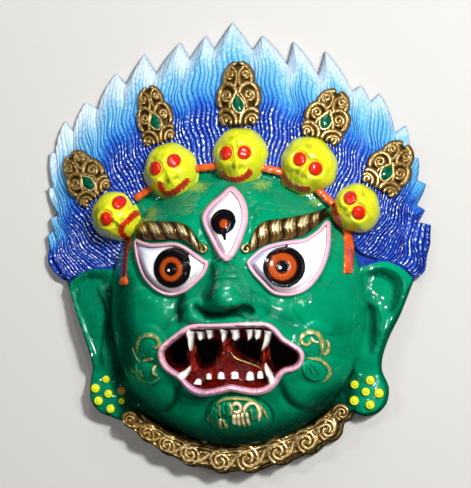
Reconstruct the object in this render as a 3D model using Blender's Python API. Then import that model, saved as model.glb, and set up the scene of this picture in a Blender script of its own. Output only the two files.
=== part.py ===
"""Wrathful guardian face mask under a crown of flame hair: one hollow casting, lying face up.

Places and carving are shares of the mask's height: U is one share, and every number without
a name is in that unit. Walls, rims, edges and the rise of each form have sizes of their own.
X runs to the viewer's right, Y towards the flames and Z out of the face.
"""

import math

import bpy
import numpy as np
from mathutils import Vector
from mathutils.geometry import delaunay_2d_cdt

# Sizes in metres
HEIGHT = 0.296  # lowest beard scroll to highest flame tip
WALL = 0.0050  # thickness of the cast shell
RIM_WIDTH = 0.0075  # flat band that the mask rests on
EDGE = 0.0065  # thickness at the outline
JAW_HEIGHT = 0.017  # edge of the face above the ground
FACE_RISE = 0.062  # face dome above its edge
CROWN_RISE = 0.040  # roots of the hair above its tips
NOSE_RISE = 0.024  # nose tip above the face dome
CHIN_RISE = 0.012  # knob on the chin
EYE_RISE = 0.009  # eyeballs above their lids
LIP_RISE = 0.0032  # lips above the skin
BROW_RISE = 0.0065  # eyebrows above the skin
BEARD_RISE = 0.0125  # beard scrolls above the edge
EAR_RISE = 0.0110  # inner side of the ears above their edge
MOUTH_DEPTH = 0.011  # gums below the lips
SKULL_RISE = 0.017  # skulls above the hair
LEAF_RISE = 0.0045  # leaf ornaments above the hair
BEAD_RADIUS = 0.0034  # beads on the ear lobes
LOCK_DEPTH = 0.0022  # grooves between the flame locks

# How finely the form is drawn
U = HEIGHT / 296  # one share of the height
GRID = 1.6
BACK_GRID = 4.5
TRIANGLES = 9800
FLAT = 0.0003  # what lies this low belongs to the flat rim

# The crown's edge from the right ear over the top to the left ear: each tip and the notch after it
FLAMES = (
    ((124.4, 16.8), (116.1, 18.7)),
    ((120.5, 26.4), (115.2, 29.7)),
    ((121.2, 43.2), (115.6, 45.8)),
    ((116.4, 60.0), (110.8, 60.7)),
    ((108.0, 81.4), (101.3, 76.6)),
    ((91.0, 102.2), (85.2, 97.1)),
    ((79.3, 107.5), (73.2, 104.3)),
    ((56.0, 130.1), (51.5, 114.3)),
    ((35.2, 136.6), (31.3, 121.6)),
    ((15.0, 140.7), (8.7, 131.4)),
    ((-4.7, 149.5), (-16.5, 132.0)),
    ((-21.8, 141.2), (-32.7, 125.6)),
    ((-39.0, 136.8), (-54.8, 116.4)),
    ((-62.8, 129.2), (-74.7, 109.7)),
    ((-81.7, 117.0), (-94.0, 93.4)),
    ((-102.1, 98.1), (-110.1, 78.7)),
    ((-115.8, 85.7), (-122.0, 64.5)),
    ((-124.8, 65.3), (-123.6, 42.0)),
    ((-126.8, 41.6), (-120.8, 23.7)),
    ((-125.4, 21.8), (-123.6, 13.2)),
)
CROWN_START, CROWN_LAST, CROWN_END = (114.1, -17.4), (-127.5, 10.6), (-115.2, -19.5)
LEFT_EAR_EDGE = (
    (-113.7, -22.3), (-107.9, -42.0), (-101.2, -61.6), (-97.2, -76.0), (-98.8, -88.0),
    (-98.2, -98.5), (-91.8, -106.7), (-82.6, -109.3),
)
RIGHT_EAR_EDGE = (
    (81.5, -107.0), (89.6, -105.2), (95.8, -98.6), (97.2, -88.2), (92.8, -77.5), (93.6, -67.0),
    (98.2, -54.1), (104.7, -41.2), (112.2, -22.0),
)
# Beard scrolls: centre and radius
SCROLLS = (
    (-70.2, -109.5, 7.5), (-58.4, -117.8, 8.5), (-45.3, -125.4, 9.0), (-30.3, -131.0, 10.5),
    (-10.8, -135.3, 10.5), (7.3, -133.8, 11.5), (26.7, -129.1, 11.0), (45.0, -122.4, 10.5),
    (58.1, -114.6, 10.0), (67.7, -103.6, 7.5),
)
# Skulls: centre, radius, turn in degrees, both eyes
SKULLS = (
    (-73.5, 22.1, 16.2, 50, ((-71.3, 30.9), (-79.6, 20.8))),
    (-39.1, 51.0, 17.6, 22, ((-36.3, 57.2), (-48.3, 52.3))),
    (5.3, 59.6, 18.3, 0, ((-3.3, 62.1), (8.0, 62.0))),
    (48.3, 53.1, 18.1, -30, ((42.5, 58.1), (52.5, 52.4))),
    (77.6, 26.8, 16.0, -55, ((73.7, 33.0), (79.6, 24.6))),
)
# Leaf ornaments: foot, tip, half width
LEAVES = (
    ((-88.0, 32.7), (-108.9, 60.4), 13.0),
    ((-47.8, 69.0), (-55.6, 104.3), 11.8),
    ((3.0, 80.0), (3.0, 120.3), 13.2),
    ((54.5, 69.0), (65.9, 100.0), 13.2),
    ((88.0, 38.5), (105.0, 66.8), 13.0),
)
HEADBAND = (
    (-63.0, 33.0), (-50.0, 41.5), (-22.0, 51.0), (0.0, 53.5), (24.0, 51.8), (46.0, 43.5), (63.0, 29.0),
)
BAND_ENDS = (
    ((-67.5, 14.0), (-70.0, 0.0), (-69.4, -21.6)),
    ((70.5, 16.0), (72.7, 4.0), (72.7, -13.8)),
)
LEFT_EYE = (
    (-58.1, 9.9), (-58.0, 0.6), (-53.7, -14.8), (-44.4, -24.0), (-35.0, -28.3), (-25.7, -25.8),
    (-16.5, -14.7), (-11.5, -8.0), (-19.6, -0.6), (-28.8, 4.9), (-41.3, 4.9), (-50.6, 5.5),
)
RIGHT_EYE = (
    (11.9, -8.6), (17.4, -17.7), (26.6, -25.7), (35.8, -28.7), (48.1, -25.6), (57.2, -14.6),
    (62.1, 3.7), (63.3, 17.7), (54.2, 9.7), (45.0, 6.7), (32.8, 4.9), (23.6, 0.6),
)
THIRD_EYE = (
    (0.3, 41.0), (-9.5, 34.5), (-15.8, 23.0), (-10.5, 8.0),
    (0.3, -7.0), (9.5, 8.0), (14.2, 23.0), (9.0, 34.5),
)
IRISES = ((-33.9, -10.4, 12.4), (35.4, -9.7, 12.4), (-3.4, 17.7, 8.0))
LEFT_BROW = ((-58.0, 12.5), (-47.5, 14.0), (-36.5, 13.3), (-26.0, 11.2), (-19.0, 5.5), (-14.5, 1.0))
RIGHT_BROW = ((11.0, 2.2), (17.5, 8.3), (26.5, 12.5), (38.0, 14.8), (50.0, 16.8), (61.0, 21.5))
LIPS = (
    (-21.3, -47.5), (-7.0, -46.7), (20.0, -45.6), (28.0, -48.0), (34.0, -54.8), (43.4, -61.3),
    (44.4, -66.4), (40.9, -71.0), (33.4, -73.6), (28.5, -81.2), (23.2, -85.0), (12.5, -85.4),
    (0.2, -83.6), (-9.3, -85.3), (-17.9, -87.0), (-23.6, -84.0), (-30.0, -77.0), (-37.2, -72.2),
    (-40.4, -65.6), (-39.3, -60.2), (-29.5, -52.3),
)
MOUTH_HOLES = (
    ((-37.0, -63.0), (-34.5, -58.0), (-27.0, -54.6), (-26.6, -63.0), (-27.0, -70.4), (-34.4, -69.6)),
    ((-19.0, -56.8), (-6.4, -56.6), (-6.2, -62.7), (-9.0, -68.0), (-16.2, -70.6), (-18.6, -64.0)),
    ((5.4, -56.4), (19.0, -56.0), (19.6, -62.0), (19.4, -68.0), (12.0, -65.6), (7.0, -61.5)),
    ((26.0, -55.0), (33.0, -58.0), (39.8, -62.6), (39.8, -67.0), (34.6, -70.8), (27.0, -70.4)),
)
# Teeth: root, tip and radius at the root
TEETH = (
    ((-24.3, -49.6), (-21.8, -60.8), 2.9), ((24.6, -49.0), (21.2, -60.3), 2.9),
    ((-17.4, -50.6), (-17.0, -54.0), 2.4), ((-11.6, -49.4), (-11.4, -53.0), 2.2),
    ((-3.2, -49.8), (-2.8, -54.4), 2.3), ((3.8, -49.4), (4.2, -53.6), 2.5),
    ((12.6, -49.2), (12.4, -53.8), 2.3), ((18.4, -49.2), (18.0, -53.2), 2.1),
    ((-30.6, -77.4), (-24.2, -71.0), 2.7), ((27.0, -81.2), (23.4, -69.4), 2.7),
    ((-19.0, -81.8), (-18.6, -79.6), 2.6), ((-12.4, -78.4), (-12.3, -76.4), 2.2),
    ((-4.9, -77.8), (-4.8, -75.8), 2.4), ((3.8, -77.6), (3.8, -75.8), 2.5),
    ((13.2, -78.4), (13.2, -76.2), 2.6), ((19.6, -77.0), (19.6, -75.0), 2.2),
)
GUM_POSTS = (((-23.0, -52.0), (-23.0, -72.0)), ((22.6, -52.0), (23.2, -71.0)))
TONGUE = (((0.0, -56.0), (-12.0, -74.0)), ((0.0, -56.0), (12.0, -70.5), (20.5, -75.0)))
CHEEK_SCROLLS = (
    (-49.3, -58.0, 9.0, 1), (-48.1, -73.5, 7.6, -1), (53.9, -55.6, 9.0, -1), (54.5, -71.5, 8.0, 1),
)
JOWL_FOLDS = (
    ((31.5, -79.5), (34.5, -91.5), (43.0, -99.7), (54.0, -103.5)),
    ((-30.5, -82.5), (-34.5, -93.5), (-43.5, -101.5), (-55.0, -104.5)),
)
SMILE_FOLDS = (
    ((-26.0, -35.0), (-34.0, -43.0), (-44.0, -50.0)),
    ((22.0, -34.0), (31.0, -41.5), (43.0, -46.5)),
)
NOSTRIL_LINE = (
    (-16.6, -31.4), (-13.0, -35.4), (-5.1, -38.0), (4.0, -38.0), (13.1, -34.4), (18.2, -31.9),
)
BEADS = (
    (-84.6, -83.7), (-93.0, -88.6), (-84.6, -93.0), (-91.6, -97.8), (-82.9, -102.3), (-75.2, -92.6),
    (85.0, -82.4), (75.2, -86.2), (82.2, -90.6), (91.2, -90.4), (75.8, -96.4), (84.8, -99.4),
)
# Ears: side, edge of the ear, its rolled rim
EARS = (
    (
        -1,
        (
            (-75, -15.5), (-88, -11.5), (-100, -13), (-110, -19.5), (-115, -25),
            (-110, -42), (-103, -62), (-99, -77), (-80, -80), (-72, -45),
        ),
        (
            (-76.0, -18.5), (-88.5, -14.5), (-100.0, -16.0), (-109.2, -24.0),
            (-104.6, -42.0), (-98.4, -60.0), (-94.6, -77.0),
        ),
    ),
    (
        1,
        (
            (73, -15), (84, -9), (95, -6.5), (106, -11), (113.5, -20), (110, -30),
            (105, -42), (99, -55), (94.5, -68), (94, -78), (78, -80), (72, -45),
        ),
        (
            (75.0, -18.0), (85.5, -12.0), (95.5, -9.8), (104.5, -14.2), (108.5, -22.5),
            (101.6, -40.0), (95.0, -54.0), (90.6, -67.0), (89.8, -78.0),
        ),
    ),
)


def curve(points, closed=False, steps=5):
    """Points along a smooth curve through the given ones."""
    p = np.array(points, float)
    n = len(p)
    made = []
    for i in range(n if closed else n - 1):
        spot = [(i + k) % n if closed else min(max(i + k, 0), n - 1) for k in (-1, 0, 1, 2)]
        a, b, c, d = p[spot]
        for t in np.arange(steps) / steps:
            square, cube = 2 * a - 5 * b + 4 * c - d, 3 * b - a - 3 * c + d
            made.append(0.5 * (2 * b + (c - a) * t + square * t**2 + cube * t**3))
    return np.array(made if closed else made + [p[-1]])


def nearest(path, x, y, reach=1e9, closed=False):
    """Distance to a path, share of its length there, and the side it lies on; beyond reach it is huge."""
    ends = np.vstack([path, path[:1]]) if closed else np.asarray(path, float)
    run = np.append(0, np.cumsum(np.linalg.norm(np.diff(ends, axis=0), axis=1)))
    near = (
        (x > ends[:, 0].min() - reach) & (x < ends[:, 0].max() + reach)
        & (y > ends[:, 1].min() - reach) & (y < ends[:, 1].max() + reach)
    )
    px, py = x[near], y[near]
    best, share, side = np.full(px.shape, 1e6), np.zeros(px.shape), np.zeros(px.shape)
    for i, (a, b) in enumerate(zip(ends[:-1], ends[1:])):
        d = b - a
        t = np.clip(((px - a[0]) * d[0] + (py - a[1]) * d[1]) / max(d @ d, 1e-12), 0, 1)
        ox, oy = px - a[0] - t * d[0], py - a[1] - t * d[1]
        gap = np.hypot(ox, oy)
        won = gap < best
        best[won] = gap[won]
        share[won] = (run[i] + t[won] * (run[i + 1] - run[i])) / run[-1]
        side[won] = np.sign(d[0] * oy - d[1] * ox)[won]
    far, along, which = np.full(x.shape, 1e6), np.zeros(x.shape), np.zeros(x.shape)
    far[near], along[near], which[near] = best, share, side
    return far, along, which


def inside(loop, x, y):
    """Whether each point lies within a closed loop."""
    found = np.zeros(x.shape, bool)
    for a, b in zip(loop, np.roll(loop, -1, axis=0)):
        crossing = (a[1] > y) != (b[1] > y)
        rise = b[1] - a[1] if abs(b[1] - a[1]) > 1e-9 else 1e-9
        found ^= crossing & (x < (b[0] - a[0]) * (y - a[1]) / rise + a[0])
    return found


def ease(low, high, v):
    """A smooth step from 0 at low to 1 at high."""
    t = np.clip((v - low) / (high - low), 0, 1)
    return t * t * (3 - 2 * t)


def cap(x, y, cx, cy, rx, ry, turn=0.0, power=0.5):
    """A rounded cap of height 1 over an ellipse."""
    c, s = math.cos(math.radians(turn)), math.sin(math.radians(turn))
    p, q = (x - cx) * c + (y - cy) * s, (y - cy) * c - (x - cx) * s
    return np.clip(1 - (p / rx) ** 2 - (q / ry) ** 2, 0, None) ** power


def hill(x, y, cx, cy, rx, ry):
    """A soft hill of height 1 that fades to nothing."""
    return np.exp(-(((x - cx) / rx) ** 2) - ((y - cy) / ry) ** 2)


def tube(gap, radius):
    """The round back of a cord of the given radius, of height 1."""
    return np.sqrt(np.clip(1 - (gap / radius) ** 2, 0, 1))


def blend(a, b, soft):
    """The higher of two heights, with a soft joint between them."""
    h = np.clip(0.5 + 0.5 * (a - b) / soft, 0, 1)
    return b + (a - b) * h + soft * h * (1 - h)


def spiral(x, y, cx, cy, radius, hand, turns=1.7):
    """Ridges of a scroll over a disc: 1 on the ridge and 0 in the groove, and 0 beyond it."""
    r = np.hypot(x - cx, y - cy) / radius
    angle = np.arctan2(y - cy, x - cx) * hand
    return (0.5 - 0.5 * np.cos(2 * math.pi * r * turns + angle)) * ease(1.0, 0.86, r)


def flank(a, b, bulge):
    """A bowed run from a to b, without b."""
    a, b = np.array(a), np.array(b)
    mid = (a + b) / 2
    bow = mid + bulge * np.linalg.norm(b - a) * (mid - (0, -15)) / np.linalg.norm(mid - (0, -15))
    return [(1 - t) ** 2 * a + 2 * t * (1 - t) * bow + t * t * b for t in np.arange(5) / 5]


def outline():
    """The mask's edge as seen from the front, against the clock from the right ear's top."""
    points, last = [], CROWN_START
    for tip, notch in FLAMES + ((CROWN_LAST, CROWN_END),):
        up, down = math.dist(last, tip), math.dist(tip, notch)
        points += flank(last, tip, 0.26 * up / (up + down) - 0.06)
        points += flank(tip, notch, 0.26 * down / (up + down) - 0.06)
        last = notch
    points += list(curve((CROWN_END,) + LEFT_EAR_EDGE, steps=3)[:-1])
    for cx, cy, radius in SCROLLS:
        facing = math.atan2(cy + 40, cx * 0.8)
        around = facing + np.radians((-34, -12, 12, 34))
        points += [(cx + radius * math.cos(a), cy + radius * math.sin(a)) for a in around]
    points += list(curve(RIGHT_EAR_EDGE + (CROWN_START,), steps=3)[:-1])
    kept = [np.array(points[0], float)]
    for p in points[1:]:
        if math.dist(p, kept[-1]) > 0.7:
            kept.append(np.array(p, float))
    return np.array(kept)


def hair(x, y):
    """The crown: a fan that falls from its roots to thin flame tips, cut into wavy locks."""
    r = np.hypot(x / 129, (y + 12) / 164)
    z = EDGE / U + CROWN_RISE / U * np.clip(1 - r**2, 0, 1) * (0.55 + 0.45 * ease(-15, 35, y))
    reach = np.hypot(x, y + 15)
    swing = 0.045 * np.sin(reach / 7.5) * ease(158, 130, reach)
    angle = np.degrees(np.arctan2(y + 15, x) + swing) % 360
    angle = np.where(angle > 300, angle - 360, angle)
    marks = [math.degrees(math.atan2(n[1] + 15, n[0])) % 360 for _, n in FLAMES]
    locks = np.interp(angle, [-6] + marks + [184], np.arange(len(marks) + 2))
    crease = np.abs(np.sin(math.pi * locks)) ** 0.6
    fine = 0.5 + 0.5 * np.sin(angle * 1.55 + 1.7 * np.sin(reach / 9))
    return z - LOCK_DEPTH / U * (1 - crease) * ease(45, 110, reach) - 0.9 * fine * ease(150, 110, reach)


def swell(x, y, z, cx, cy, rx, ry, rise, turn=0.0):
    """A muscle that swells from the surface, with a crease round it."""
    return z + rise * cap(x, y, cx, cy, rx, ry, turn, 0.7)


def face(x, y):
    """The bare dome of the face with its brow ridge, cheeks and jowls."""
    r = np.clip(np.hypot(x / 83, (y + 36) / 90), 0, 1)
    z = JAW_HEIGHT / U + FACE_RISE / U * (1 - r**2.35) ** 0.64
    z += 10 * hill(x, y, 0, 12, 30, 24) + 5 * hill(x, y, -36, 19, 22, 9) + 5 * hill(x, y, 38, 21, 22, 9)
    z = swell(x, y, z, -57, -38, 22, 15, 4.5, 25)
    z = swell(x, y, z, 60, -36, 22, 15, 4.5, -25)
    z = swell(x, y, z, -50, -65, 15, 20, 4.0)
    z = swell(x, y, z, 54, -63, 15, 20, 4.0)
    z = swell(x, y, z, -54, -88, 23, 19, 6.0, -20)
    z = swell(x, y, z, 56, -86, 24, 20, 7.0, 20)
    z += 5 * hill(x, y, 1, -66, 42, 26)
    return z * (r < 1)


def nose(x, y, z):
    """Wrinkled bridge, ball tip, wings and the dark line under them."""
    down = ease(4, -30, y)
    bridge = np.exp(-(((x - 1 - 0.8 * down) / (8 + 5 * down)) ** 2)) * ease(-40, -30, y)
    wrinkle = np.cos((y + 4 + 0.03 * x**2) * 2 * math.pi / 4.6) * ease(0, -5, y) * ease(-30, -24, y)
    z = z + (3 + 0.55 * NOSE_RISE / U * down + 1.3 * wrinkle) * bridge
    for cx, cy in ((-18.5, -34.0), (18.0, -33.0)):
        z = z + 0.45 * NOSE_RISE / U * cap(x, y, cx, cy, 9.0, 8.5, power=0.6)
    z = z + 0.45 * NOSE_RISE / U * cap(x, y, 1.8, -29.0, 15.0, 11.5, power=0.6)
    gap, share, _ = nearest(curve(NOSTRIL_LINE), x, y, 8)
    wide = 1.6 + 2.0 * np.abs(2 * share - 1) ** 3
    return z - 6.0 * np.exp(-((gap / wide) ** 2))


def brow(x, y, z, line, thick, slant):
    """A raised eyebrow of slanted locks that ends in a curl over the nose."""
    gap, share, side = nearest(curve(line), x, y, 12)
    inner = share if slant > 0 else 1 - share
    width = thick * (0.5 + 0.5 * ease(0, 0.3, 1 - inner)) * (0.7 + 0.3 * ease(0, 0.4, inner))
    back = tube(gap, width)
    locks = np.abs(np.sin(math.pi * (inner * 6.5 - 0.05 * gap * side * slant)))
    z = np.where(back > 0, z + BROW_RISE / U * back**0.7 - 2.0 * (1 - locks**0.6), z)
    ex, ey = line[-1] if slant > 0 else line[0]
    return z + 3.0 * cap(x, y, ex, ey, 3.8, 3.8)


def eye(x, y, z, loop, ball, iris):
    """A bulging eyeball in a raised lid, with its iris and pupil."""
    loop = curve(loop, closed=True, steps=4)
    gap, _, _ = nearest(loop, x, y, 14, closed=True)
    within = inside(loop, x, y)
    cx, cy, rx, ry, share = ball
    r = np.hypot(x - iris[0], y - iris[1]) / iris[2]
    globe = z + share * EYE_RISE / U * cap(x, y, cx, cy, rx, ry) - 1.5
    globe += 1.2 * ease(1.02, 0.92, r) - 1.0 * np.exp(-(((r - 0.70) / 0.08) ** 2))
    globe -= 1.6 * ease(0.38, 0.26, r)
    z = np.where(within, globe, z - 2.5 * ease(9, 3, gap) * ease(0, 3, gap))
    return z + 3.0 * tube(gap, 2.2)


def mouth(x, y, z):
    """Lips round a sunk mouth with gums, posts, tongue and teeth."""
    loop = curve(LIPS, closed=True, steps=3)
    gap, _, _ = nearest(loop, x, y, 14, closed=True)
    within = inside(loop, x, y)
    z = z + 3.5 * ease(12, 0, gap) * ~within
    gums = z - MOUTH_DEPTH / U
    floor = z - MOUTH_DEPTH / U * ease(0.8, 5.0, gap)
    floor += 3.0 * hill(x, y, 0, -80, 30, 4.5) + 2.0 * hill(x, y, 0, -49, 30, 3.0)
    for post in GUM_POSTS:
        floor = floor + 3.0 * tube(nearest(post, x, y, 5)[0], 4.2)
    for limb in TONGUE:
        floor = floor + 2.0 * tube(nearest(limb, x, y, 6)[0], 5.0)
    z = np.where(within, floor, z)
    z = z + LIP_RISE / U * tube(gap, 2.7) ** 1.4
    for root, tip, radius in TEETH:
        d, share, _ = nearest((root, tip), x, y, 5)
        size = radius * (1 - 0.55 * share) if math.dist(root, tip) > 7 else radius * (1 - 0.2 * share)
        tooth = tube(d, size)
        stand = (0.85 * MOUTH_DEPTH / U - 1.5 * share) * tooth**0.6
        z = np.where(tooth > 0, np.maximum(z, gums + stand), z)
    return z


def chin(x, y, z):
    """The round chin knob with its small curls, and the roll below the lip."""
    knob = cap(x, y, 5.4, -103.5, 19.5, 14.5)
    z = z - 3.0 * hill(x, y, 5.4, -103.5, 24, 18) + CHIN_RISE / U * knob
    for cx, cy, r, hand in ((-3.5, -97.0, 5.0, 1), (4.5, -95.5, 4.6, -1), (12.5, -97.5, 5.2, -1)):
        z = z + 1.1 * spiral(x, y, cx, cy, r, hand, 1.3)
    return z


def cheeks(x, y, z):
    """Scrolls on the cheeks and the folds beside nose and mouth."""
    for cx, cy, r, hand in CHEEK_SCROLLS:
        z = z + 1.6 * spiral(x, y, cx, cy, r, hand, 1.35) + 1.5 * cap(x, y, cx, cy, r, r, power=0.7)
    for line, deep, wide in [(f, 4.0, 3.0) for f in JOWL_FOLDS] + [(f, 3.0, 3.0) for f in SMILE_FOLDS]:
        gap, share, _ = nearest(curve(line), x, y, 12)
        middle = np.sin(math.pi * np.clip(share * 0.9 + 0.08, 0, 1)) ** 0.6
        z = z - deep * np.exp(-((gap / wide) ** 2)) * middle
    return z


def ears(x, y, z):
    """Long ears with a rolled rim and a hollow, and the bead clusters on their lobes."""
    base = EDGE / U + 4.5
    for sign, edge, rim in EARS:
        lobe = cap(x, y, sign * 85.5, -94, 17, 20)
        z = np.where(lobe > 0, blend(z, base - 2 + 9 * lobe, 2.0), z)
        inward = EAR_RISE / U * np.clip((112 - sign * x) / 30, 0, 1)
        plate = base + inward + 2.5 * cap(x, y, sign * 94, -34, 12, 22)
        plate -= (4.0 if sign > 0 else 2.0) * hill(x, y, sign * 98, -21, 9, 6)
        plate -= 6.0 * hill(x, y, sign * 86, -46, 5.0, 24)
        plate -= 4.0 * ease(-66, -80, y)
        z = np.where(inside(curve(edge, closed=True), x, y), blend(z, plate, 1.0), z)
        gap, share, _ = nearest(curve(rim), x, y, 8)
        z = np.where(gap < 4.0, blend(z, base + 0.75 * inward + 6 * tube(gap, 4.0), 1.0), z)
    for cx, cy in BEADS:
        radius = BEAD_RADIUS / U
        bead = cap(x, y, cx, cy, radius, radius)
        z = np.where(bead > 0, z + radius * bead, z)
    return z


def beard(x, y, z):
    """The band of spiral scrolls round the jaw."""
    line = curve([(cx, cy) for cx, cy, _ in SCROLLS])
    gap, share, _ = nearest(line, x, y, 16)
    wide = 8.0 + 4.0 * np.sin(math.pi * share) ** 0.7
    low, rise = EDGE / U + 2.5, BEARD_RISE / U
    band = np.where(gap < wide * 1.15, low + 0.85 * rise * tube(gap, wide * 1.15), 0)
    z = np.maximum(z, band)
    for i, (cx, cy, r) in enumerate(SCROLLS):
        disc = cap(x, y, cx, cy, r, r, power=0.4)
        scroll = low + rise * (0.5 + 0.5 * disc) + 2.0 * spiral(x, y, cx, cy, r, 1 if i < 5 else -1)
        z = np.where(disc > 0, np.maximum(z, scroll), z)
    return z


def headband(x, y, z):
    """The band under the skulls and its two hanging ends."""
    for line, wide in [(HEADBAND, 2.6)] + [(end, 3.2) for end in BAND_ENDS]:
        gap, _, _ = nearest(curve(line), x, y, 5)
        z = z + 2.6 * tube(gap, wide)
    return z


def leaf(x, y, z, foot, tip, half):
    """A pointed ornament of paired scrolls round a drop-shaped gem."""
    foot, tip = np.array(foot), np.array(tip)
    long = math.dist(foot, tip)
    ax, ay = (tip - foot) / long
    s = ((x - foot[0]) * ax + (y - foot[1]) * ay) / long
    t = ((x - foot[0]) * ay - (y - foot[1]) * ax) / half
    scrolls = ((0.12, 0.50, 0.42), (0.44, 0.58, 0.46), (0.72, 0.36, 0.38), (0.92, 0.04, 0.24))
    body = np.clip(1 - ((s - 0.45) / 0.42) ** 2 - (t / 0.62) ** 2, 0, 1) ** 0.3
    relief = np.zeros(x.shape)
    for at, off, size in scrolls:
        for hand in (-1, 1):
            p, q = (s - at) * long, (t - hand * off) * half
            disc = cap(p, q, 0, 0, size * half, size * half, power=0.3)
            body = np.maximum(body, disc)
            relief = np.maximum(relief, spiral(p, q, 0, 0, size * half, hand, 1.3))
    drop = 0.24 * np.clip(1.3 - (s - 0.36) * 3, 0.4, 1.6)
    gem = np.clip(1 - ((s - 0.36) / 0.15) ** 2 - (t / drop) ** 2, 0, 1) ** 0.5
    lift = LEAF_RISE / U * body + 1.7 * relief * (gem == 0) + 2.2 * gem
    return np.where(body > 0, z + lift, z)


def skull(x, y, z, cx, cy, radius, turn, eyes):
    """A small skull with eye sockets, a nose dent and a grin."""
    c, s = math.cos(math.radians(turn)), math.sin(math.radians(turn))
    p, q = ((x - cx) * c + (y - cy) * s) / radius, ((y - cy) * c - (x - cx) * s) / radius
    narrow = 1 - 0.22 * ease(0.1, -0.9, q)
    dome = np.clip(1 - (p / narrow) ** 2 - q**2, 0, 1) ** 0.5
    low = EDGE / U + CROWN_RISE / U * (1 - (cx / 129) ** 2 - ((cy + 12) / 164) ** 2)
    form = low - 6 + (SKULL_RISE / U + 5) * dome + 1.2 * hill(p, q, 0, -0.35, 0.35, 0.5)
    for ex, ey in eyes:
        r = np.hypot(x - ex, y - ey)
        form = form - 2.6 * np.exp(-(((r - 2.2) / 2.4) ** 2)) + 1.6 * cap(x, y, ex, ey, 2.6, 2.6)
    form = form - 1.4 * hill(p, q, 0, -0.16, 0.10, 0.12)
    grin = np.abs(np.hypot(p, q - 0.35) - 1.08)
    form = form - 1.6 * np.exp(-((grin / 0.07) ** 2)) * ease(0.62, 0.45, np.abs(p)) * (q < 0)
    return np.where(dome > 0, np.maximum(z, form), z)


def front(x, y, edge_gap):
    """Height of the carved side over each point."""
    crown = ease(-32, -16, y)
    z = hair(x, y) * crown + (EDGE / U + 5.5) * (1 - crown)
    for foot, tip, half in LEAVES:
        z = leaf(x, y, z, foot, tip, half)
    z = ears(x, y, z)
    z = blend(z, face(x, y), 2.0)
    z = headband(x, y, z)
    z = cheeks(x, y, z)
    z = chin(x, y, z)
    z = nose(x, y, z)
    z = eye(x, y, z, LEFT_EYE, (-34, -11, 30, 25, 1.0), IRISES[0])
    z = eye(x, y, z, RIGHT_EYE, (36, -10, 32, 25, 1.0), IRISES[1])
    z = eye(x, y, z, THIRD_EYE, (-0.5, 17, 19, 28, 0.65), IRISES[2])
    z = brow(x, y, z, LEFT_BROW, 6.4, 1)
    z = brow(x, y, z, RIGHT_BROW, 6.4, -1)
    z = mouth(x, y, z)
    for spot in SKULLS:
        z = skull(x, y, z, *spot)
    z = beard(x, y, z)
    rounding = EDGE / U * (0.5 + 0.5 * np.sqrt(1 - (1 - np.clip(edge_gap / 3.5, 0, 1)) ** 2))
    return np.where(edge_gap < 3.5, np.minimum(z, rounding + 1.6 * edge_gap), z)


def back_of(edge):
    """A function that gives the hollow side's height: the carved side sunk by the wall, and smoothed."""
    step, wall = 2.0, WALL / U
    gx, gy = np.arange(-140, 141, step), np.arange(-160, 161, step)
    xx, yy = (a.ravel() for a in np.meshgrid(gx, gy))
    gap, _, _ = nearest(edge, xx, yy, closed=True)
    gap = np.where(inside(edge, xx, yy), gap, -gap)
    z = np.where(gap > 0, front(xx, yy, np.abs(gap)), 0).reshape(len(gy), len(gx))
    reach = int(math.ceil(wall / step))
    sunk = np.full(z.shape, 1e6)
    for i in range(-reach, reach + 1):
        for j in range(-reach, reach + 1):
            off = step * math.hypot(i, j)
            if off < wall:
                moved = np.roll(np.roll(z, i, 0), j, 1) - math.sqrt(wall**2 - off**2)
                sunk = np.minimum(sunk, moved)
    soft = sunk.copy()
    for _ in range(4):
        padded = np.pad(soft, 1, mode="edge")
        soft = (padded[:-2, 1:-1] + padded[2:, 1:-1] + padded[1:-1, :-2] + padded[1:-1, 2:] + 2 * soft) / 6
        soft = np.minimum(soft, sunk + 0.25 * wall)
    rim = np.clip((gap - RIM_WIDTH / U) * 1.3, 0, None).reshape(z.shape)
    soft = np.clip(np.minimum(soft, rim), 0, None)

    def height(x, y):
        u = np.clip((x - gx[0]) / step, 0, len(gx) - 1.001)
        v = np.clip((y - gy[0]) / step, 0, len(gy) - 1.001)
        i, j = v.astype(int), u.astype(int)
        fu, fv = u - j, v - i
        low = soft[i, j] * (1 - fu) + soft[i, j + 1] * fu
        high = soft[i + 1, j] * (1 - fu) + soft[i + 1, j + 1] * fu
        return low * (1 - fv) + high * fv

    return height


def beside(loop, off, closed=True):
    """A line that runs beside another at a set distance, to the right of its run."""
    ahead = np.roll(loop, -1, axis=0) - np.roll(loop, 1, axis=0)
    if not closed:
        ahead[0], ahead[-1] = loop[1] - loop[0], loop[-1] - loop[-2]
    length = np.hypot(ahead[:, 0], ahead[:, 1])[:, None]
    return loop + off * np.column_stack([ahead[:, 1], -ahead[:, 0]]) / np.maximum(length, 1e-9)


def ring(cx, cy, radius):
    """Points round a circle, about as close as the grid."""
    turns = np.linspace(0, 2 * math.pi, max(8, int(2 * math.pi * radius / 1.5)), endpoint=False)
    return np.column_stack([cx + radius * np.cos(turns), cy + radius * np.sin(turns)])


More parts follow.
